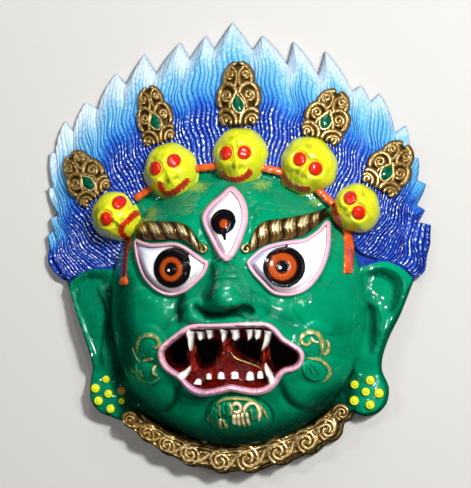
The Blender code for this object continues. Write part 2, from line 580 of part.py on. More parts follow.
def marks():
    """Points along the edges of the carved forms, so that the mesh turns where they do."""
    lines = []
    for loop, wide in [(LIPS, 2.6), (LEFT_EYE, 2.2), (RIGHT_EYE, 2.2), (THIRD_EYE, 2.2)]:
        path = curve(loop, closed=True, steps=4)
        lines += [beside(path, off) for off in (0, -wide, wide, -wide / 2, wide / 2)]
    for cx, cy, radius in IRISES:
        lines += [ring(cx, cy, radius * share) for share in (1.02, 0.92, 0.78, 0.62, 0.38, 0.26)]
    for cx, cy, radius, _, eyes in SKULLS:
        lines += [ring(cx, cy, radius * share) for share in (1.0, 0.985, 0.95, 0.88)]
        lines += [ring(ex, ey, r) for ex, ey in eyes for r in (2.6, 4.4)]
    lines += [ring(cx, cy, BEAD_RADIUS / U * share) for cx, cy in BEADS for share in (1.0, 0.85, 0.5)]
    for line, wide in ((LEFT_BROW, 6.0), (RIGHT_BROW, 6.0)):
        path = curve(line, steps=5)
        lines += [beside(path, off, closed=False) for off in (0, wide, -wide)]
    for _, _, rim in EARS:
        lines += [beside(curve(rim), off, closed=False) for off in (0, 3.9, -3.9)]
    lines += [ring(1.8, -29.0, 12.0), ring(-18.5, -34.0, 8.6), ring(18.0, -33.0, 8.6)]
    for root, tip, radius in TEETH:
        path = curve((root, tip), steps=4)
        lines += [beside(path, off, closed=False) for off in (0, radius * 0.9, -radius * 0.9)]
    for spots in (CHEEK_SCROLLS, [(*s, 1) for s in SCROLLS]):
        lines += [ring(cx, cy, r * share) for cx, cy, r, _ in spots for share in (1.0, 0.74, 0.44, 0.15)]
    return np.vstack(lines)


def thinned(points, gap, kept=()):
    """The points that stay at least a gap from each other and from the kept ones, in their order."""
    cells = {}
    chosen = []
    for i, (px, py) in enumerate([*kept, *points]):
        spot = (int(px // gap), int(py // gap))
        if i >= len(kept):
            cell = [(spot[0] + a, spot[1] + b) for a in (-1, 0, 1) for b in (-1, 0, 1)]
            around = (q for c in cell for q in cells.get(c, ()))
            if any((px - q[0]) ** 2 + (py - q[1]) ** 2 < gap * gap for q in around):
                continue
            chosen.append((px, py))
        cells.setdefault(spot, []).append((px, py))
    return np.array(chosen).reshape(-1, 2)


def spread(loops, step, extra=()):
    """A triangle mesh of the ground between the outline and the holes: points and faces."""
    edge, holes = loops[0], loops[1:]
    rows = np.arange(edge[:, 1].min(), edge[:, 1].max(), step * math.sqrt(3) / 2)
    columns = np.arange(edge[:, 0].min(), edge[:, 0].max(), step)
    xx, yy = np.meshgrid(columns, rows)
    xx = (xx + (np.arange(len(rows)) % 2)[:, None] * step / 2).ravel()
    grid = np.column_stack([xx, yy.ravel()])
    rims = np.vstack(loops)
    extra = thinned(extra, step * 0.5, rims)
    grid = thinned(grid, step * 0.75, np.vstack([rims, extra]))
    filled = np.vstack([extra, grid])
    keep = inside(edge, filled[:, 0], filled[:, 1])
    for hole in holes:
        keep &= ~inside(hole, filled[:, 0], filled[:, 1])
    points = np.vstack([rims, filled[keep]])
    borders, start = [], 0
    for loop in loops:
        n = len(loop)
        borders += [(start + i, start + (i + 1) % n) for i in range(n)]
        start += n
    verts, _, tris, source, _, _ = delaunay_2d_cdt([Vector(p) for p in points], borders, [], 0, 1e-6)
    if len(verts) != len(points):
        raise ValueError("the outline crosses itself")
    tris = np.array([s[0] for s in source])[np.array([tuple(t) for t in tris])]
    mid = points[tris].mean(axis=1)
    good = inside(edge, mid[:, 0], mid[:, 1])
    for hole in holes:
        good &= ~inside(hole, mid[:, 0], mid[:, 1])
    return points, tris[good]


def build():
    """The mask as one closed mesh."""
    edge = outline()
    holes = [curve(h, closed=True, steps=3) for h in MOUTH_HOLES]
    loops = [edge] + holes
    ground, faces = spread(loops, GRID, marks())
    gap = nearest(edge, ground[:, 0], ground[:, 1], closed=True)[0]
    top = front(ground[:, 0], ground[:, 1], gap)
    under, under_faces = spread(loops, BACK_GRID)
    low = back_of(edge)(under[:, 0], under[:, 1])
    low[: len(edge)] = 0
    verts = np.vstack([np.column_stack([ground, top]), np.column_stack([under, low])])
    n = len(ground)
    triangles = [tuple(t) for t in faces] + [tuple(t[::-1] + n) for t in under_faces]
    start = 0
    for loop in loops:
        for i in range(len(loop)):
            a, b = start + i, start + (i + 1) % len(loop)
            triangles += [(a, a + n, b + n), (a, b + n, b)]
        start += len(loop)
    verts[:, :2] -= (verts[:, :2].max(axis=0) + verts[:, :2].min(axis=0)) / 2
    mesh = bpy.data.meshes.new("mask")
    mesh.from_pydata((verts * U).tolist(), [], triangles)
    mesh.update()
    obj = bpy.data.objects.new("mask", mesh)
    bpy.context.scene.collection.objects.link(obj)
    lighter = obj.modifiers.new("fewer faces", "DECIMATE")
    lighter.ratio = min(1.0, TRIANGLES / len(triangles))
    obj.data = bpy.data.meshes.new_from_object(obj.evaluated_get(bpy.context.evaluated_depsgraph_get()))
    obj.modifiers.clear()
    bpy.data.meshes.remove(mesh)
    for vertex in obj.data.vertices:
        if vertex.co.z < FLAT:
            vertex.co.z = 0
    for polygon in obj.data.polygons:
        polygon.use_smooth = True
    return obj


def enamel(obj, name, colour):
    """Gives the object its own gloss paint."""
    material = bpy.data.materials.new(name)
    material.use_nodes = True
    shader = material.node_tree.nodes["Principled BSDF"]
    shader.inputs["Base Color"].default_value = (*colour, 1)
    shader.inputs["Roughness"].default_value = 0.25
    obj.data.materials.append(material)


for old in list(bpy.data.objects):
    bpy.data.objects.remove(old, do_unlink=True)
enamel(build(), "green enamel", (0.005, 0.27, 0.15))
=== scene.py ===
"""Dressed model of a wrathful guardian face mask under a crown of flame hair.

The mask is one hand-painted resin casting that lies face up. Its carved forms are worked out
in millimetres, in the plane that the casting was drawn in, and moved into the row frame when
their meshes are made. X runs to the viewer's right, Y towards the flames, Z out of the face.
"""

import logging
import math
from collections.abc import Callable, Sequence
from dataclasses import dataclass, field
from enum import Enum

import bpy
import numpy as np
from mathutils import Matrix, Vector
from mathutils.geometry import delaunay_2d_cdt


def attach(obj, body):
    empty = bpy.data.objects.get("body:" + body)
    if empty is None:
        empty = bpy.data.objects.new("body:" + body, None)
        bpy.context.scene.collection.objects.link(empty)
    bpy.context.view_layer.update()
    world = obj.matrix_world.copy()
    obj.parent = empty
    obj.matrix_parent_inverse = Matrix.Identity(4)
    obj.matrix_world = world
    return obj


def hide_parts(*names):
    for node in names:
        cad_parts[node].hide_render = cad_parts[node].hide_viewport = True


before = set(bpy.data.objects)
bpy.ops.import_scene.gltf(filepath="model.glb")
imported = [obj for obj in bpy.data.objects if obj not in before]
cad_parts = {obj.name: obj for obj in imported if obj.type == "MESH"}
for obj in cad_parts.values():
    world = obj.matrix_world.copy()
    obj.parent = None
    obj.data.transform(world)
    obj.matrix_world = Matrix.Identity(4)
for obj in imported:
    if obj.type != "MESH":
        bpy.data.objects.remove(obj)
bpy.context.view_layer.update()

log = logging.getLogger("mask")

Array = np.ndarray
Point = tuple[float, float]
Line = Sequence[Point]

MM = 0.001  # metres
SHIFT = (1.55, -1.887)  # from the drawing's origin to the row frame's, in mm
BODY, NODE, SLOT = "root", "mask", "enamel"
CROWN_MIDDLE = (0, -15)  # the flames and strands point away from it
FLANK_POINTS = 5  # drawn along each side of a flame
FAR = 99.0  # mm, farther than anything that matters

# Forms in the plane of the drawing, in mm.
# Each flame has its tip, the notch after it and the root of its tip strand
FLAMES = (
    ((124.4, 16.8), (116.1, 18.7), (114.1, -17.4)),
    ((120.5, 26.4), (115.2, 29.7), (107.0, -10.0)),
    ((121.2, 43.2), (115.6, 45.8), (97.0, -6.5)),
    ((116.4, 60.0), (110.8, 60.7), (85.0, -3.0)),
    ((108.0, 81.4), (101.3, 76.6), (77.0, 2.0)),
    ((91.0, 102.2), (85.2, 97.1), (74.0, 14.0)),
    ((79.3, 107.5), (73.2, 104.3), (66.0, 27.0)),
    ((56.0, 130.1), (51.5, 114.3), (54.0, 38.5)),
    ((35.2, 136.6), (31.3, 121.6), (37.0, 47.5)),
    ((15.0, 140.7), (8.7, 131.4), (19.0, 52.2)),
    ((-4.7, 149.5), (-16.5, 132.0), (1.0, 53.6)),
    ((-21.8, 141.2), (-32.7, 125.6), (-16.0, 53.0)),
    ((-39.0, 136.8), (-54.8, 116.4), (-33.0, 48.8)),
    ((-62.8, 129.2), (-74.7, 109.7), (-50.0, 41.5)),
    ((-81.7, 117.0), (-94.0, 93.4), (-63.0, 33.5)),
    ((-102.1, 98.1), (-110.1, 78.7), (-69.5, 16.0)),
    ((-115.8, 85.7), (-122.0, 64.5), (-74.0, 0.0)),
    ((-124.8, 65.3), (-123.6, 42.0), (-80.0, -10.0)),
    ((-126.8, 41.6), (-120.8, 23.7), (-90.0, -11.0)),
    ((-125.4, 21.8), (-123.6, 13.2), (-103.0, -15.0)),
)
# Where the crown meets the right ear, the tip of its last flame, and where it meets the left ear
CROWN_START, CROWN_LAST, CROWN_END = (114.1, -17.4), (-127.5, 10.6), (-115.2, -19.5)
LEFT_EAR_EDGE = (
    (-113.7, -22.3), (-107.9, -42.0), (-101.2, -61.6), (-97.2, -76.0), (-98.8, -88.0),
    (-98.2, -98.5), (-91.8, -106.7), (-82.6, -109.3),
)
RIGHT_EAR_EDGE = (
    (81.5, -107.0), (89.6, -105.2), (95.8, -98.6), (97.2, -88.2), (92.8, -77.5), (93.6, -67.0),
    (98.2, -54.1), (104.7, -41.2), (112.2, -22.0),
)
# Scrolls of the beard from left to right: middle and radius
SCROLLS = (
    (-70.2, -109.5, 7.5), (-58.4, -117.8, 8.5), (-45.3, -125.4, 9.0), (-30.3, -131.0, 10.5),
    (-10.8, -135.3, 10.5), (7.3, -133.8, 11.5), (26.7, -129.1, 11.0), (45.0, -122.4, 10.5),
    (58.1, -114.6, 10.0), (67.7, -103.6, 7.5),
)
HEADBAND = (
    (-64.0, 33.5), (-54.1, 39.9), (-38.0, 47.8), (-23.4, 52.4), (-2.0, 54.0), (18.1, 52.6),
    (30.7, 49.7), (42.0, 45.2), (52.1, 39.5), (62.5, 29.8),
)
BAND_ENDS = (
    ((-67.5, 14.0), (-70.0, 0.0), (-69.4, -21.6)),
    ((70.5, 16.0), (72.7, 4.0), (72.7, -13.8)),
)
LIPS = (
    (-21.3, -47.5), (-7.0, -46.7), (20.0, -45.6), (28.0, -48.0), (34.0, -54.8), (43.4, -61.3),
    (44.4, -66.4), (40.9, -71.0), (33.4, -73.6), (28.2, -80.6), (23.4, -84.6), (19.0, -85.9), (13.6, -85.8),
    (7.7, -84.6), (2.3, -83.5), (-3.4, -84.8), (-8.8, -86.2), (-14.6, -87.0), (-19.8, -86.2), (-24.6, -83.0),
    (-30.0, -77.0), (-37.2, -72.2),
    (-40.4, -65.6), (-39.3, -60.2), (-29.5, -52.3),
)
MOUTH_HOLES = (
    ((-37.0, -63.0), (-34.5, -58.0), (-27.0, -54.6), (-26.6, -63.0), (-27.0, -70.4), (-34.4, -69.6)),
    ((-19.0, -56.8), (-6.4, -56.6), (-6.2, -62.7), (-9.0, -68.0), (-16.2, -70.6), (-18.6, -64.0)),
    ((5.4, -56.4), (19.0, -56.0), (19.6, -62.0), (19.4, -68.0), (12.0, -65.6), (7.0, -61.5)),
    ((26.0, -55.0), (33.0, -58.0), (39.8, -62.6), (39.8, -67.0), (34.6, -70.8), (27.0, -70.4)),
)
# Teeth: root, tip and radius at the root
TEETH = (
    ((-21.9, -48.6), (-22.3, -61.2), 2.6), ((25.6, -48.6), (21.4, -61.0), 2.7),
    ((-16.3, -49.2), (-16.4, -54.9), 2.7), ((-10.1, -48.2), (-10.6, -54.0), 2.4),
    ((-1.1, -47.9), (-1.9, -55.6), 2.6), ((5.2, -47.9), (5.4, -54.8), 2.8),
    ((13.9, -47.9), (13.2, -54.9), 2.5), ((19.2, -48.0), (18.2, -54.4), 2.3),
    ((-30.2, -78.4), (-23.7, -71.2), 2.8), ((27.9, -81.4), (23.0, -69.0), 2.6),
    ((-19.6, -82.6), (-19.0, -79.3), 2.3), ((-12.5, -79.2), (-12.2, -75.6), 2.0),
    ((-4.8, -79.0), (-4.8, -74.8), 2.4), ((3.9, -78.8), (3.9, -74.4), 2.6),
    ((13.0, -79.6), (13.3, -74.4), 2.7), ((19.5, -78.6), (19.7, -74.0), 2.2),
)
# The posts between the mouth's holes, the tongue's two halves and the line painted on it
GUM_POSTS = (((-23.0, -52.0), (-23.0, -72.0)), ((22.6, -52.0), (23.2, -71.0)))
TONGUE = (((0.0, -56.0), (-12.0, -74.0)), ((0.0, -56.0), (12.0, -70.5), (20.5, -75.0)))
TONGUE_LINE = ((1.4, -61.3), (4.5, -65.6), (10.1, -68.0), (16.3, -70.4), (20.6, -72.9))
# Folds of the skin, the line under the nose and the painted shade beside its bridge
JOWL_FOLDS = (
    ((31.5, -79.5), (34.5, -91.5), (43.0, -99.7), (54.0, -103.5)),
    ((-30.5, -82.5), (-34.5, -93.5), (-43.5, -101.5), (-55.0, -104.5)),
)
SMILE_FOLDS = (
    ((-26.0, -35.0), (-34.0, -43.0), (-44.0, -50.0)),
    ((22.0, -34.0), (31.0, -41.5), (43.0, -46.5)),
)
NOSTRIL_LINE = (
    (-18.6, -34.2), (-14.5, -36.6), (-10.3, -38.2), (-1.4, -38.4), (5.6, -36.4), (11.7, -33.4),
    (14.6, -34.2), (16.6, -37.2),
)
BRIDGE_SHADE = ((-8.7, -9.2), (-7.2, -14.0), (-6.8, -18.8), (-7.0, -23.4), (-9.0, -27.5))
# Cheekbones, cheeks and jowls: middle, radii, height and turn
CHEEKS = (
    (-57, -38, 22, 15, 4.5, 25), (60, -36, 22, 15, 4.5, -25), (-50, -65, 15, 20, 4.0, 0),
    (54, -63, 15, 20, 4.0, 0), (-54, -88, 23, 19, 6.0, -20), (56, -86, 24, 20, 7.0, 20),
)
# Pads under the curls of the cheeks: middle and radii
CURL_PADS = ((-50.5, -60, 6.5, 8), (-51.2, -75, 7, 6.5), (52, -57.5, 6.5, 8), (54, -73, 7.5, 7.5))
CHIN_KNOB = (5.4, -103.5, 19.5, 14.5)  # middle and radii
LOBE, LOBE_Y = 85.5, -94  # middle of an ear lobe: off the mask's middle, and along Y
# Wings and tip of the nose: share of its height, middle, radii, turn and power
NOSE_CAPS = (
    (0.28, -20.3, -35.8, 9.3, 8.8, 0, 0.8), (0.3, 16.0, -33.5, 11.0, 8.5, -15, 0.7),
    (0.42, 1.4, -28.5, 16.0, 11.0, 0, 0.8),
)
# Hills and dips round the nose: height, middle and radii
NOSE_HILLS = ((4.5, -1, -43.0, 19, 3.2), (-5.0, -30.5, -37, 4.0, 8), (-3.4, 14.2, -36.0, 3.4, 2.6))
# Bumps and pits of a skull: middle and radii as shares of its radius, height
SKULL_FORMS = (
    (0, -0.42, 0.42, 0.3, 1.8), (0, 0.42, 0.5, 0.14, 1.2),
    (-0.52, -0.2, 0.24, 0.2, 1.9), (0.52, -0.2, 0.24, 0.2, 1.9), (0, -0.12, 0.11, 0.26, 2.2),
    (-0.17, -0.34, 0.1, 0.1, -2.0), (0.15, -0.34, 0.1, 0.1, -1.6), (-0.3, -0.42, 0.12, 0.1, -1.1),
    (-0.8, 0.05, 0.14, 0.3, -1.6), (0.8, 0.05, 0.14, 0.3, -1.4), (-0.35, 0.62, 0.2, 0.12, -0.8),
    (0.0, 0.2, 0.12, 0.12, -0.9), (-0.62, 0.42, 0.12, 0.2, -0.9),
)
# Olive places of a skull, smudges on the forehead and painted shade in the nostrils: middle and radii as
# shares of its radius, strength
SKULL_SHADES = (
    (-0.25, 0.6, 0.16, 0.12, 0.75), (0, 0.35, 0.07, 0.3, 0.5),
    (-0.17, -0.34, 0.13, 0.1, 0.8), (-0.3, -0.42, 0.13, 0.1, 0.8), (0.14, -0.34, 0.13, 0.1, 0.8),
)
# Yellow smears on the forehead: middle, radii and strength
SMUDGES = (
    (-51.8, 24.1, 5, 6, 0.9), (-23.2, 40.7, 8, 4, 0.9), (18.9, 41.7, 6, 4, 0.8), (52.1, 31.2, 6, 4, 0.7),
)
# Beads on the ear lobes: middle and radius
BEADS = (
    (-92.6, -89.3, 3.3), (-90.6, -97.4, 3.2), (-83.9, -92.7, 3.0), (-82.7, -102.5, 3.1), (-85.7, -83.4, 2.7),
    (-75.6, -97.6, 2.3), (-75.6, -91.0, 3.0),
    (85.6, -82.8, 3.2), (75.6, -85.8, 3.0), (82.8, -90.1, 3.0), (91.3, -91.0, 3.4), (75.4, -96.0, 3.4),
    (85.6, -98.4, 3.3),
)
# Carving of the ears: line, half width, height (or depth, below 0)
EAR_CARVING = (
    ((
        (-99.0, -13.6), (-105.8, -18.4), (-110.6, -24.8), (-108.6, -31.9), (-105.6, -39.0), (-102.6, -46.1),
        (-99.8, -53.9), (-96.4, -62.3), (-93.8, -71.3), (-93.2, -79.1),
    ), 1.4, 3.8),
    ((
        (-91.3, -21.0), (-88.6, -25.3), (-84.9, -31.8), (-83.3, -38.0), (-83.3, -43.5), (-85.0, -50.1),
        (-85.9, -56.6), (-86.6, -65.6), (-87.2, -76.1),
    ), 1.3, 3.8),
    (((-99.8, -17.4), (-94.4, -16.9), (-89.1, -17.5), (-85.5, -20.8)), 2.6, -2.6),
    ((
        (77.0, -15.4), (83.9, -12.6), (91.5, -10.0), (97.8, -10.8), (104.0, -14.6), (107.6, -21.1),
        (107.0, -28.1), (103.9, -36.4), (100.6, -43.3), (96.8, -51.0), (93.4, -59.2), (91.5, -67.5),
        (91.4, -76.0),
    ), 2.0, 2.6),
    (((87.0, -14.8), (93.2, -14.9), (98.7, -18.2), (102.2, -23.7), (102.4, -30.7), (99.8, -38.0)), 2.6, -4.5),
    ((
        (86.9, -25.6), (81.9, -27.1), (79.3, -30.4), (78.4, -36.0), (78.6, -42.4), (79.2, -50.1),
        (79.0, -56.6), (78.1, -63.1), (77.4, -71.5),
    ), 2.0, 2.4),
    (((84.9, -33.9), (86.4, -39.1), (87.0, -45.5), (87.0, -53.3), (86.8, -64.0)), 2.4, -4.0),
    (((90.7, -33.0), (92.9, -39.6), (93.9, -46.0), (91.5, -54.0)), 1.5, 1.8),
)
# Ears: side, edge of the ear, its rolled rim
EARS = (
    (
        -1,
        (
            (-75, -15.5), (-88, -11.5), (-100, -13), (-110, -19.5), (-115, -25),
            (-110, -42), (-103, -62), (-99, -77), (-80, -80), (-72, -45),
        ),
        (
            (-76.0, -18.5), (-88.5, -14.5), (-100.0, -16.0), (-109.2, -24.0),
            (-104.6, -42.0), (-98.4, -60.0), (-94.6, -77.0),
        ),
    ),
    (
        1,
        (
            (73, -15), (84, -9), (95, -6.5), (106, -11), (113.5, -20), (110, -30),
            (105, -42), (99, -55), (94.5, -68), (94, -78), (78, -80), (72, -45),
        ),
        (
            (75.0, -18.0), (85.5, -12.0), (95.5, -9.8), (104.5, -14.2), (108.5, -22.5),
            (101.6, -40.0), (95.0, -54.0), (90.6, -67.0), (89.8, -78.0),
        ),
    ),
)


def curve(points: Line, closed: bool = False, steps: int = 5) -> Array:
    """Draws a smooth curve through the given points.

    Args:
        points: The points to pass through.
        closed: Whether the curve returns to its start.
        steps: Points drawn for each given one.

    Returns:
        The curve's points, one row each.
    """
    p = np.array(points, float)
    n = len(p)
    made = []
    for i in range(n if closed else n - 1):
        spot = [(i + k) % n if closed else min(max(i + k, 0), n - 1) for k in (-1, 0, 1, 2)]
        a, b, c, d = p[spot]
        for t in np.arange(steps) / steps:
            square, cube = 2 * a - 5 * b + 4 * c - d, 3 * b - a - 3 * c + d
            made.append(0.5 * (2 * b + (c - a) * t + square * t**2 + cube * t**3))
    return np.array(made if closed else made + [p[-1]])


def evenly(path: Array, count: int, closed: bool = False) -> Array:
    """Spreads a number of points evenly along a path.

    Args:
        path: The path's points.
        count: How many points are wanted.
        closed: Whether the path returns to its start.

    Returns:
        The new points, one row each.
    """
    ends = np.vstack([path, path[:1]]) if closed else path
    run = np.append(0, np.cumsum(np.linalg.norm(np.diff(ends, axis=0), axis=1)))
    at = np.linspace(0, run[-1], count, endpoint=not closed)
    return np.column_stack([np.interp(at, run, ends[:, k]) for k in range(ends.shape[1])])


def nearest(
    path: Line | Array, x: Array, y: Array, reach: float = 1e9, closed: bool = False
) -> tuple[Array, Array, Array]:
    """Finds how far points lie from a path.

    Args:
        path: The path's points.
        x: Places along X.
        y: Places along Y.
        reach: Points farther than this count as far away.
        closed: Whether the path returns to its start.

    Returns:
        Three arrays: the distance, the share of the path's length there, and the side.
    """
    ends = np.vstack([path, path[:1]]) if closed else np.asarray(path, float)
    run = np.append(0, np.cumsum(np.linalg.norm(np.diff(ends, axis=0), axis=1)))
    near = (
        (x > ends[:, 0].min() - reach) & (x < ends[:, 0].max() + reach)
        & (y > ends[:, 1].min() - reach) & (y < ends[:, 1].max() + reach)
    )
    px, py = x[near], y[near]
    best, share, side = np.full(px.shape, 1e6), np.zeros(px.shape), np.zeros(px.shape)
    for i, (a, b) in enumerate(zip(ends[:-1], ends[1:])):
        d = b - a
        t = np.clip(((px - a[0]) * d[0] + (py - a[1]) * d[1]) / max(d @ d, 1e-12), 0, 1)
        ox, oy = px - a[0] - t * d[0], py - a[1] - t * d[1]
        gap = np.hypot(ox, oy)
        won = gap < best
        best[won] = gap[won]
        share[won] = (run[i] + t[won] * (run[i + 1] - run[i])) / run[-1]
        side[won] = np.sign(d[0] * oy - d[1] * ox)[won]
    far, along, which = np.full(x.shape, 1e6), np.zeros(x.shape), np.zeros(x.shape)
    far[near], along[near], which[near] = best, share, side
    return far, along, which


def inside(loop: Line | Array, x: Array, y: Array) -> Array:
    """Tells which points lie within a closed loop.

    Args:
        loop: The loop's points.
        x: Places along X.
        y: Places along Y.

    Returns:
        True for each point within it.
    """
    found = np.zeros(x.shape, bool)
    for a, b in zip(loop, np.roll(np.asarray(loop, float), -1, axis=0)):
        crossing = (a[1] > y) != (b[1] > y)
        rise = b[1] - a[1] if abs(b[1] - a[1]) > 1e-9 else 1e-9
        found ^= crossing & (x < (b[0] - a[0]) * (y - a[1]) / rise + a[0])
    return found


def ease(low: float, high: float, v: Array | float) -> Array:
    """Returns a smooth step from 0 at low to 1 at high."""
    t = np.clip((v - low) / (high - low), 0, 1)
    return t * t * (3 - 2 * t)


def cap(
    x: Array, y: Array, cx: float, cy: float, rx: float, ry: float, turn: float = 0.0, power: float = 0.5
) -> Array:
    """Returns a rounded cap of height 1 over an ellipse that is turned by some degrees."""
    p, q = around_middle(x, y, (cx, cy), turn)
    return np.clip(1 - (p / rx) ** 2 - (q / ry) ** 2, 0, None) ** power


def hill(x: Array, y: Array, cx: float, cy: float, rx: float, ry: float) -> Array:
    """Returns a soft hill of height 1 that fades to nothing."""
    return np.exp(-(((x - cx) / rx) ** 2) - ((y - cy) / ry) ** 2)


def tube(gap: Array, radius: float) -> Array:
    """Returns the round back of a cord of the given radius, of height 1."""
    return np.sqrt(np.clip(1 - (gap / radius) ** 2, 0, 1))


def blend(a: Array, b: Array, soft: float) -> Array:
    """Returns the higher of two heights, with a soft joint between them."""
    h = np.clip(0.5 + 0.5 * (a - b) / soft, 0, 1)
    return b + (a - b) * h + soft * h * (1 - h)


def flank(a: Point, b: Point, bulge: float) -> list[Array]:
    """Draws one side of a flame.

    Args:
        a: Where it starts.
        b: Where it ends.
        bulge: How far it bows outwards, as a share of its length.

    Returns:
        Its points from a towards b, without b.
    """
    start, end = np.array(a), np.array(b)
    mid = (start + end) / 2
    out = (mid - CROWN_MIDDLE) / np.linalg.norm(mid - CROWN_MIDDLE)
    bow = mid + bulge * np.linalg.norm(end - start) * out
    shares = np.arange(FLANK_POINTS) / FLANK_POINTS
    return [(1 - t) ** 2 * start + 2 * t * (1 - t) * bow + t * t * end for t in shares]


def flame_sides() -> list[list[Array]]:
    """Draws both sides of each flame, from the right ear over the top to the left ear.

    Returns:
        The sides in order, each as its points without the last one.
    """
    sides, last = [], CROWN_START
    for tip, notch in [f[:2] for f in FLAMES] + [(CROWN_LAST, CROWN_END)]:
        both = math.dist(last, tip) + math.dist(tip, notch)
        for a, b in ((last, tip), (tip, notch)):
            sides.append(flank(a, b, 0.26 * math.dist(a, b) / both - 0.06))  # the longer side bulges more
        last = notch
    return sides


def facing(cx: float, cy: float) -> float:
    """Returns the angle at which a scroll of the beard faces outwards."""
    return math.atan2(cy + 40, cx * 0.8)


def outline(least: float = 0.7) -> Array:
    """Draws the mask's edge against the clock, from the top of the right ear.

    Args:
        least: The least distance between two points, in mm.

    Returns:
        The edge's points.
    """
    points = [p for side in flame_sides() for p in side]
    points += list(curve((CROWN_END,) + LEFT_EAR_EDGE, steps=3)[:-1])
    for cx, cy, radius in SCROLLS:
        around = facing(cx, cy) + np.radians((-34, -12, 12, 34))
        points += [(cx + radius * math.cos(a), cy + radius * math.sin(a)) for a in around]
    points += list(curve(RIGHT_EAR_EDGE + (CROWN_START,), steps=3)[:-1])
    kept = [np.array(points[0], float)]
    for p in points[1:]:
        if math.dist(p, kept[-1]) > least:
            kept.append(np.array(p, float))
    return np.array(kept)


def lip_loop() -> Array:
    """Returns the edge of the mouth."""
    return curve(LIPS, closed=True, steps=3)


def beard_line(steps: int = 5) -> Array:
    """Returns the line through the middles of the beard's scrolls."""
    return curve([s[:2] for s in SCROLLS], steps=steps)


def beard_half(share: Array) -> Array:
    """Returns half of the beard's width, by the share of its length."""
    return 8.0 + 4.0 * np.sin(math.pi * share) ** 0.7


def around_middle(x: Array, y: Array, middle: Point, turn: float) -> tuple[Array, Array]:
    """Returns places seen from a middle, in a frame turned by some degrees."""
    c, s = math.cos(math.radians(turn)), math.sin(math.radians(turn))
    dx, dy = x - middle[0], y - middle[1]
    return dx * c + dy * s, dy * c - dx * s


@dataclass
class Surface:
    """A closed mesh in the making: corners in mm, faces, and the values that the paint reads."""

    corners: Array
    faces: list[tuple[int, ...]]
    values: dict[str, Array] = field(default_factory=dict)
    finish: list[int] | None = None  # the number of each face's material, or none for the first


def joined(parts: Sequence[Surface]) -> Surface:
    """Puts several surfaces into one.

    Args:
        parts: The surfaces, all with the same kinds of value.

    Returns:
        One surface that holds them all.
    """
    faces, start = [], 0
    for part in parts:
        faces += [tuple(i + start for i in face) for face in part.faces]
        start += len(part.corners)
    values = {k: np.concatenate([p.values[k] for p in parts]) for k in parts[0].values}
    finish = sum((p.finish or [0] * len(p.faces) for p in parts), [])
    return Surface(np.vstack([p.corners for p in parts]), faces, values, finish)


def slab(
    x: Array, y: Array, z: Array, floor: Array, values: dict[str, Array], closed: bool = False
) -> Surface:
    """Closes a grid of points, rows by columns, into a thin solid.

    Args:
        x: Places along X.
        y: Places along Y.
        z: The height of the upper side.
        floor: The height of the lower side.
        values: What the paint reads. Its brush marks follow the grid itself unless "flow" is given.
        closed: Whether the last row joins the first.

    Returns:
        The solid's surface.
    """
    top = np.stack([x, y, z], axis=-1)
    values = {"flow": top, **values}
    rows, columns = top.shape[:2]
    low = top.copy()
    low[:, :, 2] = np.minimum(floor, top[:, :, 2] - 0.05)
    n = rows * columns
    spot = np.arange(n).reshape(rows, columns)
    ahead = np.roll(spot, -1, axis=0) if closed else spot[1:]
    here = spot if closed else spot[:-1]
    a, b, c, d = here[:, :-1], ahead[:, :-1], ahead[:, 1:], here[:, 1:]
    quads = np.stack([a, b, c, d], axis=-1).reshape(-1, 4)
    flat = top.reshape(-1, 3)
    p, q = flat[quads[:, 2]] - flat[quads[:, 0]], flat[quads[:, 3]] - flat[quads[:, 1]]
    if (p[:, 0] * q[:, 1] - p[:, 1] * q[:, 0]).sum() < 0:
        quads = quads[:, ::-1]
    rims = [np.stack([here[:, k], ahead[:, k]], axis=-1) for k in (0, -1)]
    if not closed:
        rims += [np.stack([spot[k, :-1], spot[k, 1:]], axis=-1) for k in (0, -1)]
    around = set()
    for quad in quads.tolist():
        around.update(zip(quad, quad[1:] + quad[:1]))
    faces = [tuple(f) for f in quads.tolist()] + [tuple(i + n for i in f[::-1]) for f in quads.tolist()]
    for i, k in np.vstack(rims).tolist():
        if (i, k) not in around:
            i, k = k, i
        faces.append((k, i, i + n, k + n))
    doubled = {
        name: np.tile(v.reshape(n, -1).squeeze(), (2, 1) if v.ndim > 2 else 2) for name, v in values.items()
    }
    return Surface(np.vstack([flat, low.reshape(-1, 3)]), faces, doubled)


def placed(
    name: str, surface: Surface, finishes: Sequence[bpy.types.Material], sharp: float = 60.0
) -> bpy.types.Object:
    """Makes the object of a surface, and says what it rides on and stands for.

    Args:
        name: The piece's name.
        surface: Its mesh in mm, in the plane of the drawing.
        finishes: The materials that its faces number.
        sharp: Edges that turn by more than these degrees stay crisp.

    Returns:
        The new object.
    """
    mesh = bpy.data.meshes.new(name)
    corners = (surface.corners + (*SHIFT, 0.0)) * MM
    mesh.from_pydata(corners.tolist(), [], surface.faces)
    for key, value in surface.values.items():
        kind, entry = ("FLOAT_VECTOR", "vector") if value.ndim == 2 else ("FLOAT", "value")
        mesh.attributes.new(key, kind, "POINT").data.foreach_set(entry, value.astype(np.float32).ravel())
    for finish in finishes:
        mesh.materials.append(finish)
    if surface.finish:
        mesh.polygons.foreach_set("material_index", surface.finish)
    mesh.polygons.foreach_set("use_smooth", [True] * len(mesh.polygons))
    mesh.update()
    mesh.set_sharp_from_angle(angle=math.radians(sharp))
    obj = bpy.data.objects.new(name, mesh)
    bpy.context.scene.collection.objects.link(obj)
    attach(obj, BODY)
    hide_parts(NODE)
    log.info("%s: %d faces", name, len(mesh.polygons))
    return obj


def linear(code: str) -> tuple[float, float, float, float]:
    """Turns an sRGB hex value into the linear colour that a shader takes."""
    parts = [int(code[i : i + 2], 16) / 255 for i in (1, 3, 5)]
    return (*(c / 12.92 if c <= 0.04045 else ((c + 0.055) / 1.055) ** 2.4 for c in parts), 1.0)


